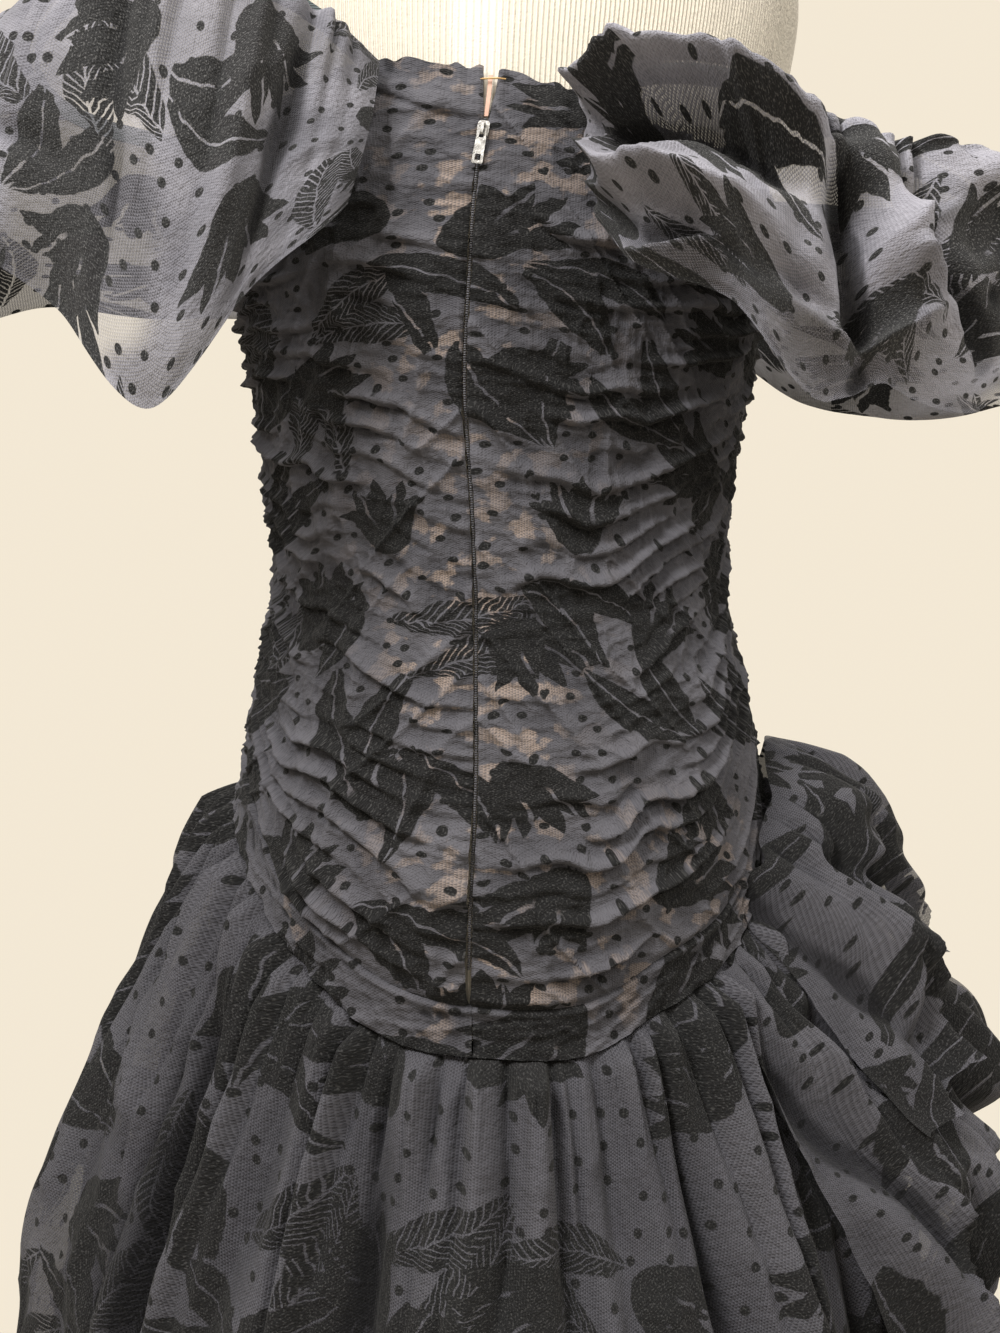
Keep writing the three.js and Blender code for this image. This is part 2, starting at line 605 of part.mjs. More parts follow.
function zip() {
  const chainFace = ease + clothWall + 0.8;
  const chainDepth = 1.4;
  const strip = (halfWidth, near, far, heights) =>
    loft(
      heights.map((z) => {
        const middle = read(zipLine, "z", "x", z);
        const corner = (x, out) => around(angleAtX(middle + x, z), out, z);
        return [corner(-halfWidth, near), corner(halfWidth, near), corner(halfWidth, far), corner(-halfWidth, far)];
      }),
    );
  const heights = steps(30).map((t) => zipFoot + 6 + (zipTop - 6 - zipFoot - 6) * t);
  add("zip_chain", strip(zipWidth / 2, chainFace - chainDepth, chainFace, heights), "tape");
  const placketHeights = steps(3).map((t) => zipTop - 4 + (1352 - zipTop + 4) * t);
  add("placket", strip(1.2, ease + 0.2, ease + 1.6, placketHeights), "lining");

  // Slider and tab share a frame that lies in the zip's own slope.
  const rise = 10;
  const seat = (z) => around(angleAtX(read(zipLine, "z", "x", z), z), chainFace + 3.4, z);
  const low = seat(tabAxisHeight - rise);
  const high = seat(tabAxisHeight + rise);
  const up = high.clone().sub(low).normalize();
  const across = new THREE.Vector3().crossVectors(new THREE.Vector3(0, 1, 0), up).normalize();
  const inward = new THREE.Vector3().crossVectors(up, across).normalize();
  const frame = new THREE.Group();
  frame.applyMatrix4(new THREE.Matrix4().makeBasis(across, inward, up));
  frame.position.copy(seat(tabAxisHeight));
  gown.add(frame);

  // Local x runs across the zip, local y into the gown and local z up, from the tab's own axis.
  const plate = new THREE.Shape();
  plate.moveTo(-3.3, -3.6).lineTo(3.3, -3.6).lineTo(3.6, 3).quadraticCurveTo(3.4, 5.6, 1.4, 5.6);
  plate.lineTo(-1.4, 5.6).quadraticCurveTo(-3.4, 5.6, -3.6, 3);
  plate.closePath();
  const plateSolid = solidOfGeometry(extrude(plate, 1.4).rotateX(Math.PI / 2).translate(0, 1.75, 0));
  const bridge = new THREE.Shape();
  bridge.moveTo(1.3, -3.9).lineTo(-1, -3.9).quadraticCurveTo(-2.3, -3.8, -2.3, -2.4);
  bridge.lineTo(-2.3, 2.4).quadraticCurveTo(-2.3, 3.8, -1, 3.9).lineTo(1.3, 3.9).lineTo(1.3, 2.7);
  bridge.lineTo(-0.9, 2.7).quadraticCurveTo(-1.1, 2.6, -1.1, 2.4).lineTo(-1.1, -2.4);
  bridge.quadraticCurveTo(-1.1, -2.6, -0.9, -2.7).lineTo(1.3, -2.7);
  bridge.closePath();
  const stood = new THREE.Matrix4().makeBasis(
    new THREE.Vector3(0, 1, 0),
    new THREE.Vector3(0, 0, 1),
    new THREE.Vector3(1, 0, 0),
  );
  const bridgeSolid = solidOfGeometry(extrude(bridge, 1.8).applyMatrix4(stood));
  add("zip_slider", geometryOfSolid(plateSolid.add(bridgeSolid)), "steel", frame);

  const tab = new THREE.Shape();
  tab.moveTo(-2.3, 0.5).lineTo(2.3, 0.5).lineTo(3, -6).lineTo(3.3, -20).quadraticCurveTo(3.3, -21, 2.3, -21);
  tab.lineTo(-2.3, -21).quadraticCurveTo(-3.3, -21, -3.3, -20).lineTo(-3, -6);
  tab.closePath();
  const rectangle = (halfWidth, top, foot) => {
    const hole = new THREE.Path();
    hole.moveTo(-halfWidth, top).lineTo(-halfWidth, foot).lineTo(halfWidth, foot).lineTo(halfWidth, top);
    hole.closePath();
    return hole;
  };
  tab.holes.push(rectangle(1.4, -0.5, -5.4), rectangle(1.6, -15.4, -19));
  const tabGeometry = extrude(tab, 0.9).rotateX(Math.PI / 2);
  add("zip_tab", geometryOfSolid(solidOfGeometry(tabGeometry)), "steel", frame);

  // A wire hook reaches over the gap at the top to its eye.
  const hookHeight = 1349;
  const wireRadius = 0.5;
  const hookMiddle = read(zipLine, "z", "x", hookHeight);
  const hookPoint = (x, out) => around(angleAtX(hookMiddle + x, hookHeight), out, hookHeight);
  const hookFace = ease + clothWall - 0.8;
  const way = [hookPoint(-9, hookFace), hookPoint(-4, hookFace + 2.4), hookPoint(4, hookFace + 2.4), hookPoint(9, hookFace)];
  const wireSection = (v) =>
    steps(6).slice(1).map((t) => {
      const turn = 2 * Math.PI * t;
      return v.clone().add(new THREE.Vector3(0, wireRadius * Math.cos(turn), wireRadius * Math.sin(turn)));
    });
  add("hook_and_eye", loft(way.map(wireSection)), "steel");
}

standAndForm();
bodice();
hipYoke();
skirt();
hipDrape("hip_drape_long", longDrape, "gather", 32);
hipDrape("hip_drape_short", shortPuff, "vee", 28);
sleeve("left", leftSleeve, 0);
sleeve("right", rightSleeve, 0.8);
zip();

export default gown;
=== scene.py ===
# A ball gown of flocked net on its dress form, seen from the back.
# Metres, +Z up. The gown's back faces -Y, and angles run from the centre back, 0, to the right side, 90.
import math

import bpy
import numpy as np
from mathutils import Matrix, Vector


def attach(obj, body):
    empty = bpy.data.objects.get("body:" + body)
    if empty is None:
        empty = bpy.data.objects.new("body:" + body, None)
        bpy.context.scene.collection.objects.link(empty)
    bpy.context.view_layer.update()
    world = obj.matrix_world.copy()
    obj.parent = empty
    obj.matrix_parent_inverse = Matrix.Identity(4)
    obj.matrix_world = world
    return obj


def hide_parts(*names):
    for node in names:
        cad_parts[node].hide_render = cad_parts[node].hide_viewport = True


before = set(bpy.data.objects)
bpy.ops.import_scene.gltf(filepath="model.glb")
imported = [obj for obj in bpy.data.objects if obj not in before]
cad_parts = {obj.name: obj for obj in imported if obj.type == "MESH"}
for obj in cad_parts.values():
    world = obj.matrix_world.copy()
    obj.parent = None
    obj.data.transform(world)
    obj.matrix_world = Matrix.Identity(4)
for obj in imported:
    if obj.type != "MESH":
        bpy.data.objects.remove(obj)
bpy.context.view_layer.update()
scene = bpy.context.scene
scene.view_settings.view_transform = "Standard"

# Studio: a plain pale floor in a warm room, darker below and bright above, with large lights over the camera.
# The camera stands behind the gown, a little to its right, level with the waist.
def put_in_scene(name, data):
    made = bpy.data.objects.new(name, data)
    scene.collection.objects.link(made)
    return made


camera_data = bpy.data.cameras.new("camera")
camera_data.sensor_width = 36
camera_data.lens = 50.6
camera = put_in_scene("camera", camera_data)
camera.location = (0.168, -1.193, 1.005)
camera.rotation_euler = (math.radians(90), 0, math.radians(8))
scene.camera = camera

world = bpy.data.worlds.new("warm_room")
world.use_nodes = True
scene.world = world
sky = world.node_tree
direction = sky.nodes.new("ShaderNodeTexCoord")
parts = sky.nodes.new("ShaderNodeSeparateXYZ")
sky.links.new(direction.outputs["Generated"], parts.inputs[0])
bands = sky.nodes.new("ShaderNodeValToRGB")
below, walls, ceiling = (0.20, 0.18, 0.15, 1), (0.90, 0.81, 0.665, 1), (2.2, 2.1, 1.95, 1)
for spot, colour in ((0.3, below), (0.33, walls), (0.68, walls)):
    bands.color_ramp.elements.new(spot).color = colour
bands.color_ramp.elements[0].color = below
bands.color_ramp.elements[-1].color = ceiling
upward = sky.nodes.new("ShaderNodeMath")
upward.operation = "MULTIPLY_ADD"
upward.inputs[1].default_value = 0.5
upward.inputs[2].default_value = 0.5
sky.links.new(parts.outputs["Z"], upward.inputs[0])
sky.links.new(upward.outputs[0], bands.inputs["Fac"])
sky.links.new(bands.outputs["Color"], sky.nodes["Background"].inputs["Color"])


def soft_light(name, place, target, width, power, colour):
    data = bpy.data.lights.new(name, "AREA")
    data.shape = "SQUARE"
    data.size = width
    data.energy = power
    data.color = colour
    light = put_in_scene(name, data)
    light.location = place
    light.rotation_mode = "QUATERNION"
    light.rotation_quaternion = (Vector(target) - Vector(place)).to_track_quat("-Z", "Y")


soft_light("key_light", (-0.85, -1.3, 2.6), (0, 0, 1.15), 0.8, 72, (1, 0.98, 0.96))
soft_light("fill_light", (1.5, -1.2, 2.3), (0.1, 0, 1.15), 1.0, 28, (1, 0.98, 0.95))
soft_light("front_light", (0.5, 2.4, 2.4), (0, 0, 1.0), 2.0, 40, (1, 0.96, 0.9))

floor_mesh = bpy.data.meshes.new("floor")
reach = 1.5
floor_corners = [(-reach, -reach, 0), (reach, -reach, 0), (reach, reach, 0), (-reach, reach, 0)]
floor_mesh.from_pydata(floor_corners, [], [(0, 1, 2, 3)])
floor = put_in_scene("floor", floor_mesh)
floor_paint = bpy.data.materials.new("pale_floor")
floor_paint.use_nodes = True
floor_shader = floor_paint.node_tree.nodes["Principled BSDF"]
floor_shader.inputs["Base Color"].default_value = (0.36, 0.325, 0.275, 1)
floor_shader.inputs["Roughness"].default_value = 0.8
floor_mesh.materials.append(floor_paint)


# Dress form: a smooth torso without limbs under a cream jersey cover with fine upright ribs.
# The cover's pieces meet in a flat seam down the centre back.
FIGURE = np.array([  # height, half width, half depth, how far forward
    (0.785, 0.160, 0.108, 0.004),
    (0.860, 0.165, 0.116, 0.002),
    (0.940, 0.157, 0.110, 0.002),
    (0.985, 0.151, 0.102, 0.000),
    (1.025, 0.142, 0.095, 0.000),
    (1.055, 0.137, 0.092, 0.000),
    (1.100, 0.139, 0.096, 0.000),
    (1.153, 0.146, 0.105, 0.003),
    (1.218, 0.159, 0.117, 0.008),
    (1.260, 0.165, 0.119, 0.009),
    (1.310, 0.172, 0.110, 0.005),
    (1.370, 0.183, 0.100, 0.002),
    (1.420, 0.190, 0.088, 0.000),
    (1.450, 0.181, 0.076, -0.002),
    (1.472, 0.140, 0.066, -0.003),
    (1.488, 0.092, 0.060, -0.002),
    (1.505, 0.064, 0.055, 0.000),
    (1.530, 0.057, 0.052, 0.002),
    (1.570, 0.055, 0.051, 0.006),
])
ROUNDING = 2 / 2.3


def smooth_read(knots, values, at):
    """Values along a smooth curve through a table's rows."""
    knots, values = np.asarray(knots, float), np.asarray(values, float)
    at = np.clip(at, knots[0], knots[-1])
    i = np.clip(np.searchsorted(knots, at, side="left") - 1, 0, len(knots) - 2)
    before, after = np.maximum(i - 1, 0), np.minimum(i + 2, len(knots) - 1)
    span = knots[i + 1] - knots[i]
    start = (values[i + 1] - values[before]) / (knots[i + 1] - knots[before]) * span
    end = (values[after] - values[i]) / (knots[after] - knots[i]) * span
    t = (at - knots[i]) / span
    return (
        values[i] * (1 + 2 * t) * (1 - t) ** 2
        + values[i + 1] * t * t * (3 - 2 * t)
        + start * t * (1 - t) ** 2
        - end * t * t * (1 - t)
    )


def read_table(table, column, at):
    """One column of a table at places along its first column."""
    return smooth_read(table[:, 0], table[:, column], at)


def smooth_step(value, low, high):
    t = np.clip((value - low) / (high - low), 0, 1)
    return t * t * (3 - 2 * t)


def signed_power(value, power):
    return np.sign(value) * np.abs(value) ** power


def around(angle, out, section, z):
    """Points on the figure's section at one height, moved out, at height z."""
    turn = np.radians(angle)
    width = read_table(FIGURE, 1, section) + out
    depth = read_table(FIGURE, 2, section) + out
    forward = read_table(FIGURE, 3, section)
    x = width * signed_power(np.sin(turn), ROUNDING)
    y = forward - depth * signed_power(np.cos(turn), ROUNDING)
    return joined(x, y, z)


def joined(*parts):
    """Points from their coordinates, each given for all rows and columns or for some."""
    return np.stack(np.broadcast_arrays(*parts), axis=-1)


def grid_piece(name, points, flat, material, marks=None):
    """A smooth sheet through rows and columns of points, with its flat places as a UV map."""
    rows, columns = points.shape[:2]
    number = np.arange(rows * columns).reshape(rows, columns)
    quads = np.stack([number[:-1, :-1], number[1:, :-1], number[1:, 1:], number[:-1, 1:]], axis=-1)
    mesh = bpy.data.meshes.new(name)
    mesh.from_pydata(points.reshape(-1, 3).tolist(), [], quads.reshape(-1, 4).tolist())
    corner = np.empty(len(mesh.loops), dtype=np.int32)
    mesh.loops.foreach_get("vertex_index", corner)
    layer = mesh.uv_layers.new(name="cloth")
    layer.data.foreach_set("uv", flat.reshape(-1, 2)[corner].astype(np.float32).ravel())
    for mark, values in (marks or {}).items():
        attribute = mesh.attributes.new(mark, "FLOAT", "POINT")
        attribute.data.foreach_set("value", values.astype(np.float32).ravel())
    mesh.shade_smooth()
    mesh.materials.append(material)
    return put_in_scene(name, mesh)


class Recipe:
    """Builds one material's nodes, with arithmetic written as calls."""

    def __init__(self, name, roughness=0.8):
        self.material = bpy.data.materials.new(name)
        self.material.use_nodes = True
        self.tree = self.material.node_tree
        self.shader = self.tree.nodes["Principled BSDF"]
        self.shader.inputs["Roughness"].default_value = roughness

    def node(self, kind, settings=None, **inputs):
        made = self.tree.nodes.new(kind)
        for key, value in (settings or {}).items():
            setattr(made, key, value)
        for key, value in inputs.items():
            self.put(made.inputs[key.replace("_", " ")], value)
        return made

    def put(self, socket, value):
        if isinstance(value, bpy.types.NodeSocket):
            self.tree.links.new(value, socket)
        else:
            socket.default_value = value

    def give(self, name, value):
        self.put(self.shader.inputs[name], value)

    def cloth_place(self):
        return self.node("ShaderNodeUVMap", {"uv_map": "cloth"}).outputs["UV"]

    def object_place(self):
        return self.node("ShaderNodeTexCoord").outputs["Object"]

    def drifting_tone(self, place, scale, detail, dark, light):
        """Base colour between two tones, over a solid. Gives back where it is light."""
        share = self.noise(place, scale, detail, "3D")
        self.give("Base Color", self.mix(share, dark, light))
        return share

    def mark(self, name):
        return self.node("ShaderNodeAttribute", {"attribute_name": name}).outputs["Fac"]

    def vector(self, operation, first, second):
        made = self.node("ShaderNodeVectorMath", {"operation": operation})
        self.put(made.inputs[0], first)
        self.put(made.inputs["Scale" if operation == "SCALE" else 1], second)
        return made.outputs[0]

    def math(self, operation, first, second=0.0, third=None, clamp=False):
        made = self.tree.nodes.new("ShaderNodeMath")
        made.operation = operation
        made.use_clamp = clamp
        for socket, value in zip(made.inputs, (first, second, third)):
            if value is not None:
                self.put(socket, value)
        return made.outputs[0]

    def times(self, first, second):
        return self.math("MULTIPLY", first, second)

    def plus(self, first, second):
        return self.math("ADD", first, second)

    def minus(self, first, second):
        return self.math("SUBTRACT", first, second)

    def absolute(self, value):
        return self.math("ABSOLUTE", value)

    def ramp(self, value, low, high):
        """0 where value is low, 1 where it is high."""
        made = self.tree.nodes.new("ShaderNodeMapRange")
        made.interpolation_type = "SMOOTHSTEP"
        self.put(made.inputs["Value"], value)
        made.inputs["From Min"].default_value = low
        made.inputs["From Max"].default_value = high
        return made.outputs["Result"]

    def mix(self, share, first, second):
        made = self.tree.nodes.new("ShaderNodeMix")
        made.data_type = "RGBA"
        self.put(made.inputs[0], share)
        self.put(made.inputs[6], (*first, 1) if isinstance(first, tuple) else first)
        self.put(made.inputs[7], (*second, 1) if isinstance(second, tuple) else second)
        return made.outputs[2]

    def noise(self, place, scale, detail=2.0, dimensions="2D"):
        settings = {"noise_dimensions": dimensions}
        return self.node("ShaderNodeTexNoise", settings, Vector=place, Scale=scale, Detail=detail).outputs[0]

    def bump(self, height, distance, normal=None):
        made = self.node("ShaderNodeBump", Height=height, Distance=distance)
        if normal is not None:
            self.put(made.inputs["Normal"], normal)
        return made.outputs["Normal"]


jersey = Recipe("ribbed_jersey", 0.92)
place = jersey.cloth_place()
apart = jersey.node("ShaderNodeSeparateXYZ", Vector=place)
rib_pitch = 0.0024
rib = jersey.math("SINE", jersey.times(apart.outputs["X"], 2 * math.pi / rib_pitch))
seam_band = jersey.ramp(jersey.absolute(apart.outputs["X"]), 0.0095, 0.0085)
cloudy = jersey.noise(place, 14)
cream = jersey.mix(cloudy, (0.49, 0.45, 0.375), (0.56, 0.515, 0.435))
# Painted shade: the grooves between the ribs are darkened.
cream = jersey.mix(jersey.times(jersey.ramp(rib, 0.2, -1.0), 0.3), cream, (0.33, 0.29, 0.23))
cream = jersey.mix(jersey.times(seam_band, 0.35), cream, (0.63, 0.595, 0.53))
jersey.give("Base Color", cream)
rib_relief = jersey.bump(rib, 0.0006)
jersey.give("Normal", jersey.bump(jersey.noise(place, 900), 0.0003, rib_relief))
jersey.shader.inputs["Sheen Weight"].default_value = 0.15

form_angles = np.linspace(-180, 180, 145)[None, :]
form_foot, form_top = 0.785, 1.57
torso_rows, neck_rows = np.linspace(form_foot + 0.002, 1.44, 70), np.linspace(1.445, form_top, 40)
form_heights = np.concatenate([[form_foot, form_foot], torso_rows, neck_rows, [form_top]])[:, None]
form_points = around(form_angles, 0, form_heights, form_heights)
for closing_row in (0, -1):
    form_points[closing_row, :, :2] = form_points[closing_row, :, :2].mean(axis=0)
arc = np.radians(form_angles) * 0.15
form_flat = joined(arc, form_heights)
form_cover = grid_piece("form_cover", form_points[::-1], form_flat[::-1], jersey.material)
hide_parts("dress_form")
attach(form_cover, "gown")


# Stand: a black turned neck cap, a steel pole and a round weighted base, all satin painted.
# Each is turned about its own axis from one profile.
stand_paint = Recipe("satin_black_paint", 0.38)
place = stand_paint.object_place()
worn = stand_paint.noise(place, 18, 5, "3D")
worn_tone = stand_paint.ramp(worn, 0.35, 0.75)
stand_paint.give("Base Color", stand_paint.mix(worn_tone, (0.022, 0.022, 0.023), (0.05, 0.048, 0.046)))
stand_paint.give("Roughness", stand_paint.math("MULTIPLY_ADD", worn, 0.25, 0.26))
stand_paint.give("Normal", stand_paint.bump(stand_paint.noise(place, 420, 3, "3D"), 0.0002))


def turned_piece(node, profile, middle_y=0, columns=72):
    """A closed turned shape. The profile goes from the top on the axis to the bottom on the axis."""
    radius, height = np.array(profile).T
    turn = np.linspace(-math.pi, math.pi, columns + 1)[None, :]
    radius, height = radius[:, None], height[:, None]
    x, y = radius * np.sin(turn), middle_y - radius * np.cos(turn)
    points = joined(x, y, height)
    flat = joined(turn * 0.05, height)
    piece = grid_piece(node + "_turned", points, flat, stand_paint.material)
    bevelled = piece.modifiers.new("soft_edges", "BEVEL")
    bevelled.width = 0.0008
    bevelled.segments = 2
    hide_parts(node)
    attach(piece, "gown")


cap_foot = 1.5706
cap_profile = [(0, 0.042), (0.006, 0.0415), (0.0105, 0.039), (0.0142, 0.0345), (0.015, 0.031), (0.013, 0.027)]
cap_profile += [(0.009, 0.024), (0.009, 0.018), (0.02, 0.013), (0.056, 0.009), (0.058, 0.004)]
cap_profile += [(0.056, 0), (0, 0)]
raised_cap = [(radius, height + cap_foot) for radius, height in cap_profile]
turned_piece("neck_cap", raised_cap, 0.006)
pole_radius, pole_foot, pole_top = 0.014, 0.0146, 0.7844
pole_profile = [(0, pole_top), (pole_radius, pole_top), (pole_radius, pole_foot), (0, pole_foot)]
turned_piece("stand_pole", pole_profile)
base_profile = [(0, 0.014), (0.04, 0.014), (0.184, 0.009), (0.19, 0.005), (0.19, 0), (0, 0)]
turned_piece("stand_base", base_profile, columns=120)


# Flocked net: a fine slate-grey hexagon net with black velvety tulips, paired leaves and dots.
# It is laid over a dark lining on the bodice and hangs loose elsewhere, where light comes through it.
SLATE = (0.0265, 0.0265, 0.0315)
PALE_SLATE = (0.096, 0.095, 0.108)
FLOCK = (0.0090, 0.0091, 0.0095)
NUDE_LINING = (0.25, 0.195, 0.16)


def flocked_net(name, sheer, pale, light=1.0):
    """Sheer cloth has a mark for how much its bare net covers.

    pale lightens the net between its motifs, and light scales all of it up. The light above 1 given to the
    sleeves is painted light, and pale is set partly as painted light too: low on the shaded skirt, high on
    the lit sleeves.
    """
    net = Recipe(name, 0.82)
    flat_cells = {"voronoi_dimensions": "2D"}
    place = net.cloth_place()
    ragged = net.node("ShaderNodeTexNoise", {"noise_dimensions": "2D"}, Vector=place, Scale=75.0, Detail=2.0)
    offset = net.vector("SUBTRACT", ragged.outputs["Color"], (0.5, 0.5, 0.5))
    drawn = net.vector("ADD", place, net.vector("SCALE", offset, 0.0045))

    def motif_place(pitch, shift, spread):
        """Coordinates about the middle of each motif, turned its own way, and a number of its own."""
        moved = net.vector("ADD", drawn, shift)
        cell = net.node("ShaderNodeTexVoronoi", flat_cells, Vector=moved, Scale=1 / pitch, Randomness=spread)
        local = net.vector("SUBTRACT", moved, cell.outputs["Position"])
        own = net.node("ShaderNodeSeparateColor", Color=cell.outputs["Color"])
        turned = net.node("ShaderNodeVectorRotate", {"rotation_type": "Z_AXIS"})
        net.put(turned.inputs["Vector"], local)
        net.put(turned.inputs["Angle"], net.times(own.outputs[0], 2 * math.pi))
        xyz = net.node("ShaderNodeSeparateXYZ", Vector=turned.outputs[0])
        return xyz.outputs["X"], xyz.outputs["Y"], own.outputs[1]

    def outline(value, knots):
        curve = net.node("ShaderNodeFloatCurve", Value=value)
        points = curve.mapping.curves[0].points
        while len(points) < len(knots):
            points.new(0.5, 0.5)
        for point, (at, height, handle) in zip(points, knots):
            point.location = (at, height)
            point.handle_type = handle
        curve.mapping.update()
        return curve.outputs[0]

    # A tulip, as a radius for each direction round its cup: a round foot and five ragged petal tips
    tulip_pitch, leaf_pitch = 0.108, 0.085
    x, y, own = motif_place(tulip_pitch, (0.0, 0.0, 0.0), 0.55)
    tulip_turn = net.math("MULTIPLY_ADD", net.math("ARCTAN2", y, x), 1 / (2 * math.pi), 0.5)
    foot_knots = [(0.0, 0.50), (0.06, 0.45), (0.25, 0.56), (0.44, 0.45), (0.52, 0.52)]
    tip_knots = [(0.585, 0.93), (0.625, 0.60), (0.66, 0.98), (0.70, 0.55), (0.745, 1.0)]
    tip_knots += [(0.785, 0.60), (0.825, 0.95), (0.87, 0.62), (0.915, 0.90)]
    closing_knots = [(0.98, 0.52), (1.0, 0.50)]
    tulip_knots = []
    for knots, handle in ((foot_knots, "AUTO"), (tip_knots, "VECTOR"), (closing_knots, "AUTO")):
        tulip_knots += [(*knot, handle) for knot in knots]
    tulip_size = net.math("MULTIPLY_ADD", own, 0.013, 0.038)
    reach = net.times(outline(tulip_turn, tulip_knots), tulip_size)
    radius = net.math("SQRT", net.plus(net.times(x, x), net.times(y, y)))
    edge = net.minus(radius, reach)
    tulip = net.ramp(edge, 0.0005, -0.0005)
    # Two bare lines part the petals
    parting_place = net.math("MULTIPLY_ADD", y, 0.22, 0.006)
    part = net.absolute(net.minus(net.absolute(x), parting_place))
    parting = net.times(net.ramp(part, 0.0014, 0.0007), net.ramp(y, 0.002, 0.010))
    tulip = net.times(tulip, net.minus(1.0, parting))

    # A pair of leaves, each with a bare midrib
    x, y, own = motif_place(leaf_pitch, (0.37, 0.21, 0.0), 0.8)
    leaf_along = net.math("MULTIPLY_ADD", x, 10.5, 0.5)
    leaf_knots = [(0.0, 0.0, "VECTOR"), (0.16, 0.3, "AUTO"), (0.42, 0.62, "AUTO"), (0.75, 0.36, "AUTO")]
    leaf_width = outline(leaf_along, leaf_knots + [(1.0, 0.0, "VECTOR")])
    bend = net.times(net.times(x, x), 5.0)
    leaf_spread = net.math("MULTIPLY_ADD", x, 0.26, 0.0145)
    across = net.minus(net.absolute(net.plus(y, bend)), leaf_spread)
    from_midrib = net.absolute(across)
    leaf_edge = net.minus(from_midrib, net.times(leaf_width, 0.024))
    leaf = net.ramp(leaf_edge, 0.0005, -0.0005)
    midrib = net.ramp(from_midrib, 0.0004, 0.0009)
    vein_run = net.math("MULTIPLY_ADD", from_midrib, 1.1, x)
    veins_per_metre = 210.0
    vein_place = net.math("FRACT", net.times(vein_run, veins_per_metre))
    vein_line = net.absolute(net.minus(vein_place, 0.5))
    combed = net.math("MAXIMUM", net.ramp(vein_line, 0.08, 0.16), net.ramp(own, 0.40, 0.41))
    shown = net.times(combed, net.ramp(own, 0.24, 0.25))
    leaf = net.times(net.times(leaf, midrib), shown)

    dot_pitch = 0.0205
    dots = net.node("ShaderNodeTexVoronoi", flat_cells, Vector=place, Scale=1 / dot_pitch, Randomness=0.7)
    dot = net.ramp(dots.outputs["Distance"], 0.0031 / dot_pitch, 0.0024 / dot_pitch)
    flock = net.math("MAXIMUM", net.math("MAXIMUM", tulip, leaf), dot)

    # The net's own threads, six ways round each hole
    flat = net.node("ShaderNodeSeparateXYZ", Vector=place)
    thread_pitch = 0.0015
    rate = 2 * math.pi / thread_pitch

    def leaning(lean):
        line = net.math("MULTIPLY_ADD", flat.outputs["Y"], 0.866, net.times(flat.outputs["X"], lean))
        return net.math("SINE", net.times(line, rate))

    upright = net.math("SINE", net.times(flat.outputs["X"], rate))
    three_ways = net.plus(net.plus(upright, leaning(0.5)), leaning(-0.5))
    thread = net.ramp(three_ways, 1.3, -0.9)

    cloud = net.noise(place, 17.0, 3.0)
    clouded = net.math("MULTIPLY_ADD", net.ramp(cloud, 0.3, 0.75), 0.7 * pale, 0.3 * pale)
    tone = net.mix(clouded, SLATE, PALE_SLATE)
    tone = net.mix(net.times(thread, 0.16), tone, PALE_SLATE)
    warmth = net.mark("warmth")
    speckled = net.ramp(net.noise(place, 55.0, 3.0), 0.54, 0.62)
    warm_share = net.times(warmth, net.math("MULTIPLY_ADD", thread, 0.4, 0.3))
    warm_spots = net.times(warm_share, speckled)
    tone = net.mix(warm_spots, tone, NUDE_LINING)
    # Painted highlight, partly the paler look of net doubled over at its folds: where the crest mark is high
    # the colour is lightened towards pale slate.
    crest = net.mark("crest")
    tone = net.mix(net.times(net.ramp(crest, 0.35, 1.0), 0.28), tone, PALE_SLATE)
    fuzz = net.noise(place, 900.0, 1.0)
    velvet = net.mix(net.ramp(fuzz, 0.54, 0.74), FLOCK, (0.033, 0.033, 0.033))
    # Painted shade: where the crest mark is low, in the hollows of the folds, the colour is darkened towards
    # near black.
    painted_fold_shade = net.times(net.ramp(crest, 0.30, 0.0), 0.72)
    # Painted light: the whole colour is scaled by light, above 1 on the sleeves for the light that falls on
    # them.
    patterned = net.vector("SCALE", net.mix(flock, tone, velvet), light)
    net.give("Base Color", net.mix(painted_fold_shade, patterned, (0.004, 0.004, 0.005)))
    net.give("Roughness", net.math("MULTIPLY_ADD", flock, 0.14, 0.8))
    thread_relief = net.bump(thread, 0.0003)
    net.give("Normal", net.bump(net.noise(place, 260.0, 2.0), 0.0013, thread_relief))
    net.shader.inputs["Specular IOR Level"].default_value = 0.10
    net.shader.inputs["Sheen Weight"].default_value = 0.05
    net.shader.inputs["Sheen Roughness"].default_value = 0.45
    if sheer:
        cover = net.mark("cover")
        holes = net.math("MULTIPLY_ADD", net.minus(thread, 0.5), 0.3, cover, clamp=True)
        net.give("Alpha", net.math("MAXIMUM", holes, flock))
    return net.material


def lattice(x, y, seed):
    """Smooth random heights from 0 to 1 over a plane, the same each time."""

    def corner(i, j):
        return np.modf(np.abs(np.sin(i * 127.1 + j * 311.7 + seed * 74.7) * 43758.5453))[0]

    i, j = np.floor(x), np.floor(y)
    s, t = x - i, y - j
    s, t = s * s * s * (s * (6 * s - 15) + 10), t * t * t * (t * (6 * t - 15) + 10)
    near = corner(i, j) * (1 - s) + corner(i + 1, j) * s
    far = corner(i, j + 1) * (1 - s) + corner(i + 1, j + 1) * s
    return near * (1 - t) + far * t


def ridges(x, y, seed):
    """Soft crests of random length over a plane, from 0 to 1."""
    return 1 - np.abs(2 * lattice(x, y, seed) - 1)


def creases(u, v, table):
    """Listed creases. Each runs between two places, and is a trough where its height is below 0."""
    relief = np.zeros(np.broadcast(u, v).shape)
    for u1, v1, u2, v2, width, height in table:
        run = (u2 - u1) ** 2 + (v2 - v1) ** 2
        t = np.clip(((u - u1) * (u2 - u1) + (v - v1) * (v2 - v1)) / run, 0, 1)
        off = np.hypot(u - u1 - t * (u2 - u1), v - v1 - t * (v2 - v1))
        fading = 0.35 + 0.65 * np.sin(math.pi * np.clip(t, 0.05, 0.95))
        relief += height * np.exp(-((off / width) ** 2)) * fading
    return relief


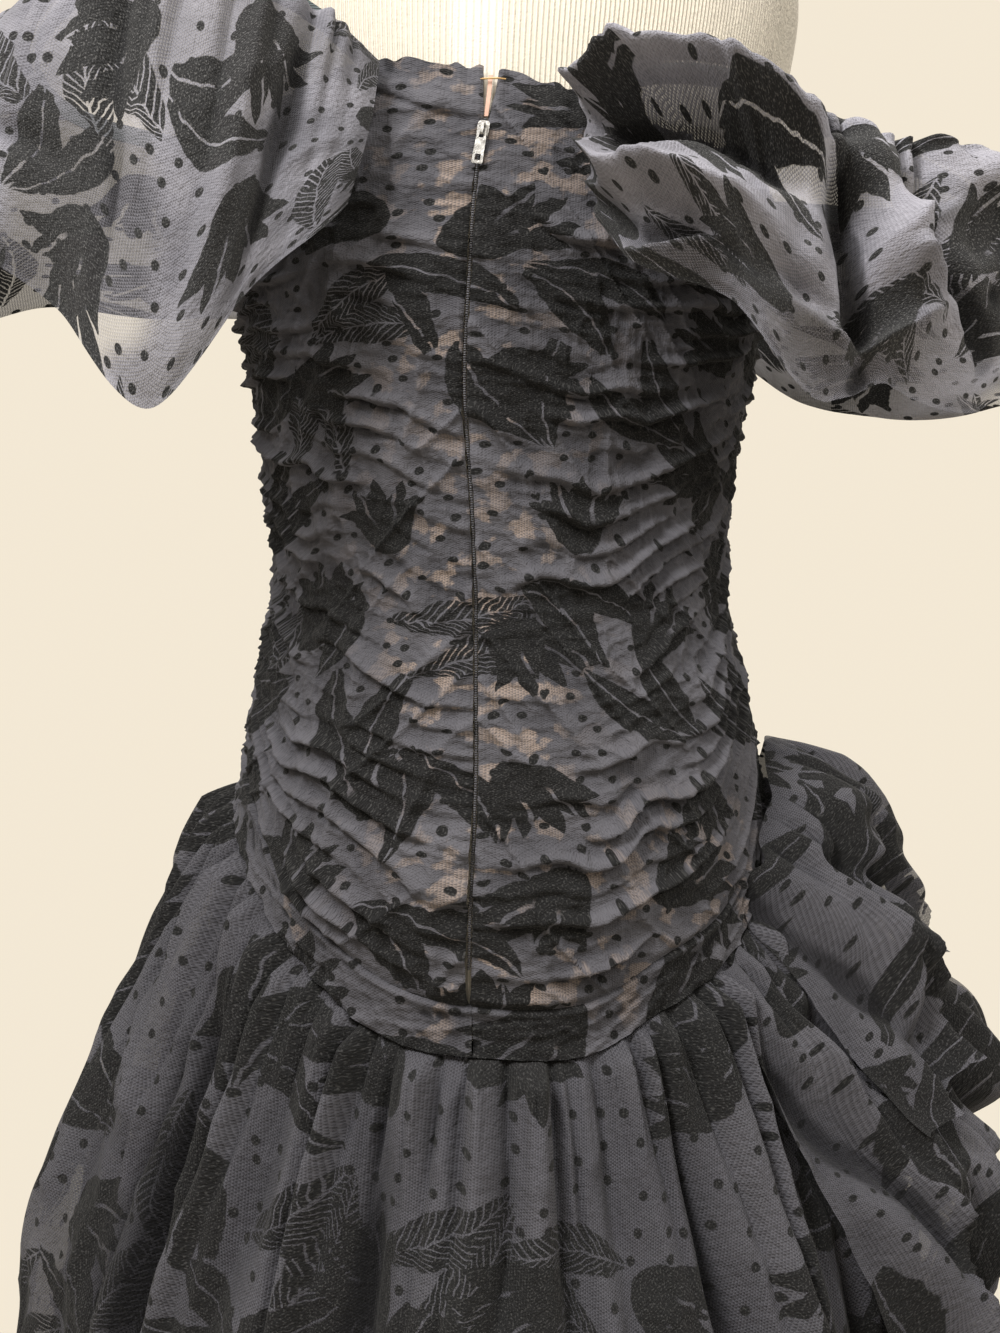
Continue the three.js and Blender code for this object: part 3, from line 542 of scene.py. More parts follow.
# Bodice: two back panels and one front panel of flocked net, each gathered up its side seams and beside
# the zip into about thirty soft folds. They lie on a dark lining, whose nude patches show by the zip.
SEAMS = np.array([  # angle, top edge, V seam under the ruching, gathered seam of the skirt
    (-180, 1.316, 0.812, 0.784),
    (-150, 1.322, 0.842, 0.815),
    (-120, 1.312, 0.915, 0.890),
    (-90, 1.298, 0.958, 0.932),
    (-60, 1.325, 0.924, 0.893),
    (-36, 1.352, 0.864, 0.832),
    (-16, 1.366, 0.822, 0.788),
    (0, 1.358, 0.806, 0.777),
    (20, 1.338, 0.809, 0.779),
    (36, 1.322, 0.834, 0.803),
    (54, 1.314, 0.858, 0.829),
    (68, 1.308, 0.892, 0.866),
    (80, 1.299, 0.940, 0.915),
    (90, 1.296, 0.962, 0.936),
    (120, 1.310, 0.920, 0.895),
    (150, 1.322, 0.845, 0.818),
    (180, 1.316, 0.812, 0.784),
])
ZIP_LINE = np.array([  # height, how far the zip wanders from the middle, half the gap that it closes
    (0.800, -0.002, 0.0002),
    (0.808, -0.002, 0.0002),
    (0.815, -0.002, 0.0014),
    (0.870, 0.000, 0.0014),
    (0.940, 0.002, 0.0014),
    (1.030, 0.000, 0.0014),
    (1.100, -0.002, 0.0014),
    (1.170, -0.005, 0.0014),
    (1.240, -0.001, 0.0014),
    (1.290, 0.002, 0.0014),
    (1.326, 0.007, 0.0014),
    (1.345, 0.009, 0.0036),
    (1.365, 0.010, 0.0050),
])
EASE = 0.004
TOP_EASE = 0.0009
WALL = 0.0022
RUCHE_FOLDS = 30
RUCHE_HEIGHT = 0.0048
SEAM_PRESS = 1.5  # degrees each side of a side seam where the cloth lies flat


def seam_height(column, angle):
    wrapped = (np.asarray(angle, float) + 180) % 360 - 180
    return read_table(SEAMS, column, wrapped)


def angle_at(x, z):
    share = x / read_table(FIGURE, 1, z)
    return np.degrees(np.arcsin(signed_power(share, 1 / ROUNDING)))


def from_side_seam(angle):
    """Degrees to the nearer side seam."""
    return np.abs(90 - np.abs((angle + 180) % 360 - 180))


def ruching(down, angle, x, seed):
    """How far the gathered cloth stands out at each place between the top edge and the V seam."""
    turn = np.radians(angle)
    drift = 1.7 * (lattice(turn * 2.3 + 5, down * 5, seed) - 0.5)
    jog = 0.65 * (lattice(turn * 6.0 + 3 * down, down * 11, seed + 3) - 0.5)
    sweep = 1.9 * (np.minimum(np.abs(angle), 90) / 90) ** 2 - 0.7
    line = down * RUCHE_FOLDS + (drift + jog + sweep) * np.minimum(1, 12 * down * (1 - down))
    fold = np.floor(line)
    through = line - fold
    swell = smooth_step(through, 0, 0.75) * (1 - smooth_step(through, 0.8, 1))
    tuck = np.exp(-(((through - 0.72) / 0.19) ** 2)) - 0.6 * np.exp(-(((through - 0.95) / 0.06) ** 2))
    own = np.clip(2.3 * lattice(turn * 3.3 + fold * 7.31, fold * 3.7, seed + 1) - 0.6, 0.02, 1.45)
    back = np.abs(angle) <= 90
    from_zip = np.where(back, np.abs(x), 0.1)
    calm = 0.42 + 0.58 * smooth_step(from_zip, 0.008, 0.08)
    side = np.exp(-from_side_seam(angle) / 13)
    tight = 0.0009 * side + 0.0015 * np.exp(-from_zip / 0.010)
    small_gathers = 52
    gather = down * small_gathers + 2.2 * lattice(turn * 5, down * 17, seed + 6)
    close = np.abs(np.sin(math.pi * gather)) ** 1.2
    slanted = ridges(turn * 3.1, down * 21 - 8 * np.abs(turn), seed + 5) ** 6
    fine = ridges(turn * 7 + 1.2 * drift, down * 62 + 1.6 * turn, seed + 2) ** 3
    crumple = ridges(turn * 16, down * 34 - 3 * turn, seed + 4) ** 3
    height = RUCHE_HEIGHT * own * calm * (0.45 * swell + 0.7 * tuck) + tight * close
    rounded = 1 - 0.66 * side
    relief = height * rounded + (0.0036 * slanted + 0.0019 * fine + 0.0018 * crumple) * rounded**2
    return relief * (1 - np.exp(-((from_side_seam(angle) / SEAM_PRESS) ** 2)))


def sew(piece, node):
    """Puts a cloth piece in the place of its solid."""
    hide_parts(node)
    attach(piece, "gown")


def bodice_panel(node, edge, end, columns, rows, seed):
    share = np.linspace(0, 1, columns)[None, :]
    down = np.linspace(0, 1, rows)[:, None]
    rough_angle = edge(1.35) + (end - edge(1.35)) * share
    top = seam_height(1, rough_angle)
    foot_angle = edge(0.806) + (end - edge(0.806)) * share
    foot = seam_height(2, foot_angle) + 0.0005
    z = top + (foot - top) * down
    angle = edge(z) + (end - edge(z)) * share
    x = around(angle, 0, z, z)[..., 0]
    relief = ruching(down, angle, x, seed)
    beside_zip = abs(end) == 90
    edge_x = around(edge(z) + 0 * share, 0, z, z)[..., 0]
    from_edge = np.abs(x - edge_x) if beside_zip else np.full(x.shape, 1.0)
    heading_depth = 0.011
    heading = np.exp(-(((top - z) / heading_depth) ** 2))
    turn = np.radians(angle)
    ripple = np.sin(turn * 96 + 3 * np.sin(turn * 17)) * np.exp(-(((top - z) / 0.020) ** 2))
    ease = TOP_EASE + (EASE - TOP_EASE) * np.minimum(1, down * 8)
    rolled = -0.0019 * np.exp(-((from_edge / 0.0012) ** 2))
    settle = 1 - np.exp(-((1 - down) / 0.008) ** 2)
    out = ease + WALL + relief * (1 - 0.7 * heading) * settle + 0.0019 * ripple + rolled
    z = z + 0.0012 * np.sin(turn * 74 + 2 * np.sin(turn * 23)) * heading
    sag = 0.2 * relief * (1 - heading) * settle
    points = around(angle, out, z, z - sag)
    edge_mark = 0.6 * np.exp(-((from_edge / 0.0018) ** 2))
    # The crest mark paints light into the net's colour: painted highlight on the tucks and the top edge's
    # ripples, a lighter line along the zip edge, and painted shade under each tuck.
    crest = np.clip(0.14 + 0.3 * ripple + 0.85 * relief / RUCHE_HEIGHT + edge_mark, 0, 1)
    flat = joined(turn * 0.155, z + 0.35 * (z - 1.1))
    flat[..., 1] += relief * 0.7
    by_zip = np.exp(-((x / 0.050) ** 2)) if beside_zip else 0 * x
    spots = lattice(x * 30 + 3, z * 26, 7) ** 1.3
    side_spots = 0.5 * smooth_step(lattice(x * 9, z * 7 + 2, 12), 0.62, 0.85)
    warmth = np.clip(by_zip * (0.35 + 1.1 * spots) + side_spots, 0, 1)
    piece = grid_piece(node + "_ruched", points, flat, bodice_net, {"warmth": warmth, "crest": crest})
    sew(piece, node)


def zip_edge(side):
    def edge(z):
        middle = read_table(ZIP_LINE, 1, z)
        half = read_table(ZIP_LINE, 2, z)
        return angle_at(middle + side * half, z)

    return edge


def right_seam(z):
    return 90.02 + 0 * z


bodice_net = flocked_net("flocked_net_on_lining", False, 0.55)
bodice_panel("bodice_back_left", zip_edge(-1), -90, 190, 330, 11)
bodice_panel("bodice_back_right", zip_edge(1), 90, 190, 330, 23)
bodice_panel("bodice_front", right_seam, 269.98, 210, 240, 37)


# Zip: a fine coil of black nylon between the two back panels, closed up to its slider below the top edge.
# The coil's loops repeat along one path, and the metal slider and its pull keep their own shapes.
def settled(source, name):
    """A plain mesh piece from an object's modifiers. The object itself is removed."""
    graph = bpy.context.evaluated_depsgraph_get()
    mesh = bpy.data.meshes.new_from_object(source.evaluated_get(graph))
    mesh.name = name
    bpy.data.objects.remove(source)
    return put_in_scene(name, mesh)


nylon = Recipe("black_nylon_coil", 0.45)
place = nylon.object_place()
nylon.drifting_tone(place, 160, 3, (0.012, 0.012, 0.015), (0.045, 0.045, 0.055))
nylon.give("Normal", nylon.bump(nylon.noise(place, 1500, 2, "3D"), 0.0002))

coil = bpy.data.node_groups.new("coil_loops", "GeometryNodeTree")
coil.interface.new_socket("Path", in_out="INPUT", socket_type="NodeSocketGeometry")
for label in ("Pitch", "Half width"):
    coil.interface.new_socket(label, in_out="INPUT", socket_type="NodeSocketFloat")
coil.interface.new_socket("Loops", in_out="OUTPUT", socket_type="NodeSocketGeometry")
given = coil.nodes.new("NodeGroupInput")
made = coil.nodes.new("NodeGroupOutput")
spaced = coil.nodes.new("GeometryNodeResampleCurve")
spaced.mode = "LENGTH"
loop = coil.nodes.new("GeometryNodeMeshUVSphere")
loop.inputs["Segments"].default_value = 8
loop.inputs["Rings"].default_value = 6
shaped = coil.nodes.new("ShaderNodeCombineXYZ")
shaped.inputs["Y"].default_value = 0.5
shaped.inputs["Z"].default_value = 0.6
sized = coil.nodes.new("GeometryNodeTransform")
placed = coil.nodes.new("GeometryNodeInstanceOnPoints")
real = coil.nodes.new("GeometryNodeRealizeInstances")
painted = coil.nodes.new("GeometryNodeSetMaterial")
painted.inputs["Material"].default_value = nylon.material
loop.inputs["Radius"].default_value = 0.001
for source, output, target, socket in (
    (given, "Path", spaced, "Curve"),
    (given, "Pitch", spaced, "Length"),
    (given, "Half width", shaped, "X"),
    (loop, "Mesh", sized, "Geometry"),
    (shaped, "Vector", sized, "Scale"),
    (spaced, "Curve", placed, "Points"),
    (sized, "Geometry", placed, "Instance"),
    (placed, "Instances", real, "Geometry"),
    (real, "Geometry", painted, "Geometry"),
    (painted, "Geometry", made, "Loops"),
):
    coil.links.new(source.outputs[output], target.inputs[socket])

coil_foot, coil_top = 0.829, 1.325
coil_heights = np.linspace(coil_foot, coil_top, 90)
coil_middle = read_table(ZIP_LINE, 1, coil_heights)
coil_path = around(angle_at(coil_middle, coil_heights), EASE + WALL - 0.0002, coil_heights, coil_heights)
path = bpy.data.curves.new("zip_path", "CURVE")
path.dimensions = "3D"
spline = path.splines.new("POLY")
spline.points.add(len(coil_path) - 1)
for point, spot in zip(spline.points, coil_path):
    point.co = (*spot, 1)
path_object = put_in_scene("zip_path", path)
laying = path_object.modifiers.new("coil", "NODES")
laying.node_group = coil
wanted = {"Pitch": 0.0014, "Half width": 1.15}
for socket in coil.interface.items_tree:
    if socket.name in wanted:
        laying[socket.identifier] = wanted[socket.name]
zip_coil = settled(path_object, "zip_coil")
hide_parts("zip_chain")
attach(zip_coil, "gown")

nickel = Recipe("worn_nickel", 0.28)
place = nickel.object_place()
rubbed = nickel.drifting_tone(place, 260, 4, (0.16, 0.16, 0.165), (0.50, 0.49, 0.47))
nickel.shader.inputs["Metallic"].default_value = 1.0
nickel.give("Roughness", nickel.math("MULTIPLY_ADD", rubbed, 0.3, 0.14))
nickel.give("Normal", nickel.bump(nickel.noise(place, 900, 3, "3D"), 0.0001))
gilt = Recipe("dull_gilt_wire", 0.35)
gilt.drifting_tone(gilt.object_place(), 500, 3, (0.42, 0.25, 0.10), (0.72, 0.50, 0.24))
gilt.shader.inputs["Metallic"].default_value = 1.0
satin = Recipe("brown_pink_satin", 0.5)
satin.drifting_tone(satin.object_place(), 220, 3, (0.30, 0.16, 0.11), (0.50, 0.31, 0.24))
elastic = Recipe("grey_green_elastic", 0.85)
place = elastic.object_place()
woven = elastic.node("ShaderNodeTexWave", {"bands_direction": "Z"}, Vector=place, Scale=220.0).outputs["Fac"]
elastic_tone = elastic.mix(woven, (0.035, 0.05, 0.052), (0.085, 0.105, 0.108))
elastic.give("Base Color", elastic_tone)
elastic.give("Normal", elastic.bump(woven, 0.0003))
for node, recipe in (
    ("zip_slider", nickel),
    ("zip_tab", nickel),
    ("hook_and_eye", gilt),
    ("placket", satin),
    ("sleeve_band_left", elastic),
    ("sleeve_band_right", elastic),
):
    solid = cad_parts[node]
    for entry in solid.material_slots:
        entry.material = recipe.material


# Hip yoke: a narrow shaped band of the same lined net between the V seam and the gathered skirt, in three
# pieces with a seam down the centre back. Its top edge is sewn under the bodice, and the skirt's gathers
# pucker its lower edge.
def yoke_piece(node, start, end, columns, seed):
    angle = np.linspace(start, end, columns)[None, :]
    down = np.linspace(0, 1, 22)[:, None]
    top, foot = seam_height(2, angle) + 0.0018, seam_height(3, angle) + 0.0003
    z = top + (foot - top) * down
    turn = np.radians(angle)
    pucker = ridges(turn * 22, down * 1.5, seed) * smooth_step(down, 0.3, 1)
    tucks = ridges(turn * 5.5 + 1.5 * down, down * 3.4 + 3 * turn, seed + 1) ** 3
    rumpled = ridges(turn * 19 - 2 * down, down * 5 + 5 * turn, seed + 2) ** 2
    welt = np.exp(-(((down - 0.13) / 0.05) ** 2))
    under = np.exp(-((down / 0.07) ** 2))
    flat_at_seam = 1 - np.exp(-((from_side_seam(angle) / SEAM_PRESS) ** 2))
    rumple = 0.0028 * pucker + 0.0024 * tucks + 0.0016 * rumpled
    relief = rumple * flat_at_seam * (1 - under) + 0.0014 * welt
    out = EASE + WALL + 0.0008 + relief - 0.0028 * under
    points = around(angle, out, z, z)
    flat = joined(turn * 0.16, z)
    warmth = np.clip(0.5 * smooth_step(lattice(turn * 8 + 3, z * 22, 5), 0.5, 0.8) + 0 * z, 0, 1)
    # Painted light: the crest mark lightens the yoke's raised puckers and darkens its flatter places as
    # painted shade.
    crest = np.clip(relief / 0.005, 0, 1)
    piece = grid_piece(node + "_cloth", points, flat, bodice_net, {"warmth": warmth, "crest": crest})
    sew(piece, node)


yoke_piece("yoke_back_left", -89.98, -0.02, 160, 41)
yoke_piece("yoke_back_right", 0.02, 89.98, 160, 42)
yoke_piece("yoke_front", 90.02, 269.98, 240, 43)


# Skirt: a back and a front panel of loose flocked net, gathered into the yoke and falling in deep uneven
# folds to the floor, over a plain dark lining that shows through the net.
FLARE = np.array([  # drop below the seam, how far the folds' crests stand out
    (0.000, 0.007),
    (0.015, 0.020),
    (0.040, 0.036),
    (0.065, 0.048),
    (0.100, 0.065),
    (0.132, 0.081),
    (0.185, 0.104),
    (0.231, 0.119),
    (0.284, 0.129),
    (0.368, 0.149),
    (0.500, 0.184),
    (0.700, 0.240),
    (0.930, 0.300),
])
FURROWS = np.array([  # angle at the seam, angle where it hangs free, depth
    (-160, -158, 0.034),
    (-137, -133, 0.040),
    (-112, -110, 0.034),
    (-84, -82, 0.026),
    (-54, -41, 0.040),
    (-33, -27, 0.012),
    (-16, -8, 0.034),
    (5, 6, 0.012),
    (21, 20, 0.014),
    (32, 36, 0.038),
    (51, 55, 0.026),
    (74, 76, 0.030),
    (100, 100, 0.026),
    (126, 124, 0.036),
    (150, 146, 0.038),
    (176, 176, 0.030),
])
HEM_HEIGHT = 0.015


def furrow_depth(table, angle, drop, ramp):
    settled_share = np.exp(-drop / 0.110)
    growth = 1 - np.exp(-drop / ramp)
    width = 3.6 + 1.6 * growth
    total = np.zeros(np.broadcast(angle, drop).shape)
    for seam, low, depth in table:
        middle = low + (seam - low) * settled_share
        off = (angle - middle + 540) % 360 - 180
        total += depth * growth * np.exp(-(np.abs(off / width) ** 1.5))
    return total


def skirt_out(angle, drop):
    closer = 0.22 * np.exp(-(((angle - 95) / 42) ** 2)) * (1 - smooth_step(drop, 0.35, 0.8))
    return FLARE[0, 1] + (read_table(FLARE, 1, drop) - FLARE[0, 1]) * (1 - closer)


def skirt_cut(angle, drop):
    return 1.3 * furrow_depth(FURROWS, angle, drop, 0.09) * np.minimum(1, 0.62 + drop / 1.3)


def gathers(along, drop, seed, height, length):
    """Small uneven pleats below a gathered seam, which run out at different lengths. along counts them."""
    sway = 0.9 * (lattice(along / 3.1, drop * 4, seed) - 0.5) * np.minimum(1, drop * 9)
    phase = along + 0.28 * np.sin(2.1 * along + seed) + sway
    pleat = np.floor(phase)
    own = 0.25 + 1.1 * lattice(pleat * 7.31, 0 * pleat + seed, seed + 1)
    reach = length * (0.3 + 1.5 * lattice(pleat * 3.17, 0 * pleat + 2 * seed, seed + 2))
    crest = np.abs(np.sin(math.pi * phase)) ** 0.75
    start = np.minimum(1, drop / 0.010) ** 0.7
    return height * start * (own * crest * np.exp(-drop / reach) - 0.3 * np.exp(-drop / length))


def cone_flat(angle, drop):
    """Flat places on a flared panel: part of a ring, as it is cut."""
    turn, reach = np.radians(angle) * 0.45, 0.50 + drop * 1.05
    return joined(reach * np.sin(turn), -reach * np.cos(turn))


def skirt_panel(node, start, end, seed):
    columns, rows = 420, 165
    angle = np.linspace(start, end, columns)[None, :]
    seam = seam_height(3, angle) - 0.0003
    share = np.linspace(0, 1, rows)[:, None] ** 1.35
    drop = share * (seam - HEM_HEIGHT)
    tied = smooth_step(np.minimum(angle - start, end - angle), 0, 4)
    pleats = gathers(angle / 5.6, drop, seed, 0.024, 0.15) + gathers(angle / 2.5, drop, seed + 5, 0.008, 0.05)
    swell = lattice(angle / 8.5 + 0.8 * np.sin(drop * 6), drop * 1.6, seed + 1) - 0.5
    dimples = ridges(angle / 6 + 2 * drop, drop * 11 - angle / 14, seed + 2) - 0.5
    crinkle = ridges(angle / 2.6, drop * 26, seed + 3) ** 2
    relief = pleats + 0.034 * swell * smooth_step(drop, 0.02, 0.25) + 0.0036 * crinkle
    relief = (relief + 0.008 * dimples * smooth_step(drop, 0.0, 0.1)) * tied
    cut = skirt_cut(angle, drop)
    out = skirt_out(angle, drop) - cut + relief - 0.003
    # Painted light: the crest mark lightens the pleats' crests and paints shade down the furrows.
    crest = np.clip(0.52 + relief / 0.030 - cut / 0.032, 0, 1)
    thin = smooth_step(np.abs(angle + 88), 22, 6) * smooth_step(drop, 0.02, 0.1)
    points = around(angle, out, seam, seam - drop)
    marks = {"crest": crest, "cover": 0.86 - 0.3 * thin}
    piece = grid_piece(node + "_cloth", points, cone_flat(angle, drop), skirt_net, marks)
    sew(piece, node)


# The skirt's low pale is painted shade: its net is set darker than the bodice's.
skirt_net = flocked_net("flocked_net_loose", True, 0.2)
skirt_panel("skirt_back", -90, 90, 51)
skirt_panel("skirt_front", 90, 270, 57)

lining = Recipe("dark_lining", 0.6)
place = lining.cloth_place()
lining_cloud = lining.noise(place, 11, 3)
lining.give("Base Color", lining.mix(lining_cloud, (0.006, 0.006, 0.007), (0.014, 0.0135, 0.015)))
lining.shader.inputs["Specular IOR Level"].default_value = 0.1
lining.give("Normal", lining.bump(lining.noise(place, 700), 0.0002))
angle = np.linspace(-180, 180, 241)[None, :]
seam = seam_height(3, angle) - 0.002
drop = np.linspace(0, 1, 60)[:, None] * (seam - HEM_HEIGHT - 0.03)
out = 0.86 * skirt_out(angle, drop) - 1.05 * skirt_cut(angle, drop)
out = out - 0.004 - 0.018 * smooth_step(drop, 0, 0.1)
points = around(angle, out, seam, seam - drop)
skirt_lining = grid_piece("skirt_lining", points, cone_flat(angle * 0.999, drop), lining.material)
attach(skirt_lining, "gown")


# Hip drape: a long gathered drape over the right hip and a short crumpled puff over it, both of loose net
# sewn into the seams above and open at the foot.
LONG_DRAPE = np.array([  # drop, how far it stands out
    (0.000, 0.011),
    (0.020, 0.022),
    (0.050, 0.045),
    (0.084, 0.072),
    (0.110, 0.100),
    (0.130, 0.132),
    (0.155, 0.149),
    (0.195, 0.152),
    (0.216, 0.141),
    (0.257, 0.142),
    (0.285, 0.110),
    (0.320, 0.108),
    (0.365, 0.116),
    (0.455, 0.138),
])
LONG_FURROWS = np.array([  # angle at the seam, angle where it hangs free, depth
    (54, 56, 0.013),
    (63, 68, 0.022),
    (73, 79, 0.020),
    (85, 90, 0.024),
    (97, 101, 0.020),
    (109, 112, 0.024),
    (122, 124, 0.020),
    (136, 137, 0.016),
])
SHORT_PUFF = np.array([  # drop, how far it stands out
    (0.000, 0.011),
    (0.004, 0.024),
    (0.015, 0.042),
    (0.036, 0.063),
    (0.070, 0.090),
    (0.102, 0.108),
    (0.124, 0.115),
    (0.136, 0.112),
])
PUFF_FURROWS = np.array([  # angle at the seam, angle where it hangs free, depth
    (71, 74, 0.016),
    (80, 83, 0.018),
    (89, 91, 0.020),
    (99, 100, 0.016),
    (110, 110, 0.020),
    (121, 120, 0.018),
    (131, 130, 0.012),
])


def drape_piece(node, shape, furrows, span, sweep, seam_column, grid, seed, placed_creases):
    columns, rows = grid
    start, end = span
    column = np.linspace(start, end, columns)[None, :]
    row_drop = np.linspace(0, 1, rows)[:, None] ** 1.15 * shape[-1, 0]
    share = (end - column) / (end - start)
    angle = column + sweep * share * smooth_step(row_drop, 0, 0.22)
    skirt_z = seam_height(3, angle)
    z = seam_height(seam_column, column) - 0.0006 - row_drop
    drop = np.maximum(0, skirt_z - z)
    layer = WALL + 0.0007 + 0.0033 * np.minimum(1, drop / 0.04)
    floor_out = skirt_out(angle, drop) + layer
    if seam_column == 2:
        over_long = read_table(LONG_DRAPE, 1, drop) + layer
        above = np.clip((z - skirt_z) / 0.02, 0, 1)
        on_yoke = EASE + 2 * WALL + 0.0013
        floor_out = np.maximum(floor_out + layer, over_long) * (1 - above) + on_yoke * above
    opened = smooth_step(np.minimum(column - start, end - column), -1, 9)
    out = read_table(shape, 1, row_drop) - furrow_depth(furrows, column, row_drop, 0.045)
    out = floor_out + (np.maximum(floor_out, out) - floor_out) * opened
    loose = smooth_step(row_drop, 0.002, 0.06) * (0.35 + 0.65 * opened)
    turn = np.radians(column)
    pleats = gathers(column / 4.6, row_drop, seed, 0.026, 0.16) * (0.35 + 0.65 * opened)
    crumple = 0.024 * (ridges(turn * 8 + 9 * row_drop, row_drop * 11 + 2 * turn, seed + 1) ** 1.5 - 0.3)
    small = 0.007 * (ridges(turn * 17, row_drop * 31 + 3 * turn, seed + 2) - 0.4)
    relief = pleats + (crumple + small) * loose + creases(turn * 0.3, row_drop, placed_creases)
    out = out + relief
    # Painted light: the crest mark lightens the raised crumples and paints shade into the drape's hollows.
    crest = np.clip(0.34 + relief / 0.022, 0, 1)
    cover = 0.9 - 0.35 * smooth_step(column, 78, 100) * smooth_step(row_drop, 0.02, 0.08)
    points = around(angle, out, skirt_z, z)
    flat = joined(turn * 0.33, -(row_drop * 1.15 + out * 0.9))
    piece = grid_piece(node + "_cloth", points, flat, drape_net, {"crest": crest, "cover": cover})
    sew(piece, node)


drape_net = flocked_net("flocked_net_drape", True, 0.35)
long_creases = [  # across and down from, across and down to, width, height, in metres on the cloth
    (0.26, 0.01, 0.36, 0.34, 0.013, -0.020),
    (0.28, 0.01, 0.40, 0.26, 0.016, 0.018),
    (0.30, 0.02, 0.44, 0.22, 0.010, -0.018),
    (0.27, 0.12, 0.34, 0.44, 0.016, 0.016),
    (0.36, 0.16, 0.50, 0.24, 0.015, -0.020),
    (0.33, 0.26, 0.46, 0.36, 0.018, 0.016),
    (0.40, 0.28, 0.52, 0.44, 0.012, -0.016),
    (0.50, 0.05, 0.62, 0.34, 0.014, -0.018),
    (0.66, 0.04, 0.72, 0.38, 0.014, 0.016),
]
puff_creases = [
    (0.33, 0.005, 0.37, 0.13, 0.010, -0.020),
    (0.35, 0.005, 0.41, 0.12, 0.011, 0.016),
    (0.37, 0.010, 0.45, 0.10, 0.008, -0.018),
    (0.40, 0.005, 0.50, 0.06, 0.010, 0.014),
    (0.42, 0.060, 0.52, 0.13, 0.010, -0.018),
    (0.48, 0.005, 0.56, 0.12, 0.011, 0.014),
    (0.56, 0.010, 0.60, 0.13, 0.009, -0.018),
    (0.64, 0.010, 0.66, 0.13, 0.011, 0.014),
]
drape_piece(
    "hip_drape_long",
    LONG_DRAPE,
    LONG_FURROWS,
    span=(48, 150),
    sweep=10,
    seam_column=3,
    grid=(230, 170),
    seed=61,
    placed_creases=long_creases,
)
drape_piece(
    "hip_drape_short",
    SHORT_PUFF,
    PUFF_FURROWS,
    span=(62, 140),
    sweep=4,
    seam_column=2,
    grid=(190, 100),
    seed=67,
    placed_creases=puff_creases,
)


# Sleeves: two wide off-the-shoulder flounces of doubled net, gathered onto an elastic band round the upper
# arm and sewn to the bodice's top edge. The left one stands out flat, and the right one has slumped.
LEFT_SLEEVE = np.array([  # the band's point, the hem's point under it, how far the cloth puffs out between
    (-0.056, -0.1089, 1.362, -0.066, -0.150, 1.268, 0.006),
    (-0.095, -0.128, 1.396, -0.116, -0.182, 1.212, 0.016),
    (-0.140, -0.138, 1.414, -0.168, -0.200, 1.146, 0.024),
    (-0.190, -0.138, 1.420, -0.228, -0.176, 1.206, 0.026),
    (-0.245, -0.116, 1.412, -0.290, -0.150, 1.246, 0.030),
    (-0.288, -0.068, 1.398, -0.345, -0.098, 1.240, 0.026),
    (-0.304, 0.000, 1.388, -0.366, -0.005, 1.228, 0.028),
    (-0.288, 0.066, 1.386, -0.345, 0.092, 1.262, 0.028),
    (-0.240, 0.118, 1.384, -0.276, 0.166, 1.266, 0.028),
    (-0.185, 0.148, 1.374, -0.206, 0.196, 1.270, 0.024),
    (-0.134, 0.142, 1.354, -0.142, 0.178, 1.266, 0.014),
    (-0.092, 0.121, 1.326, -0.098, 0.138, 1.264, 0.006),
])
RIGHT_SLEEVE = np.array([  # the band's point, the hem's point under it, how far the cloth puffs out between
    (0.062, -0.1066, 1.344, 0.080, -0.136, 1.272, 0.008),
    (0.098, -0.128, 1.348, 0.100, -0.168, 1.224, 0.022),
    (0.146, -0.136, 1.342, 0.150, -0.172, 1.204, 0.030),
    (0.190, -0.132, 1.322, 0.194, -0.170, 1.150, 0.028),
    (0.230, -0.112, 1.306, 0.232, -0.136, 1.160, 0.024),
    (0.264, -0.074, 1.302, 0.276, -0.084, 1.150, 0.034),
    (0.296, -0.016, 1.300, 0.322, -0.022, 1.170, 0.036),
    (0.290, 0.050, 1.306, 0.318, 0.062, 1.172, 0.034),
    (0.248, 0.106, 1.316, 0.268, 0.150, 1.178, 0.032),
    (0.188, 0.138, 1.330, 0.200, 0.184, 1.196, 0.028),
    (0.138, 0.140, 1.332, 0.142, 0.172, 1.228, 0.016),
    (0.096, 0.121, 1.324, 0.098, 0.138, 1.250, 0.006),
])


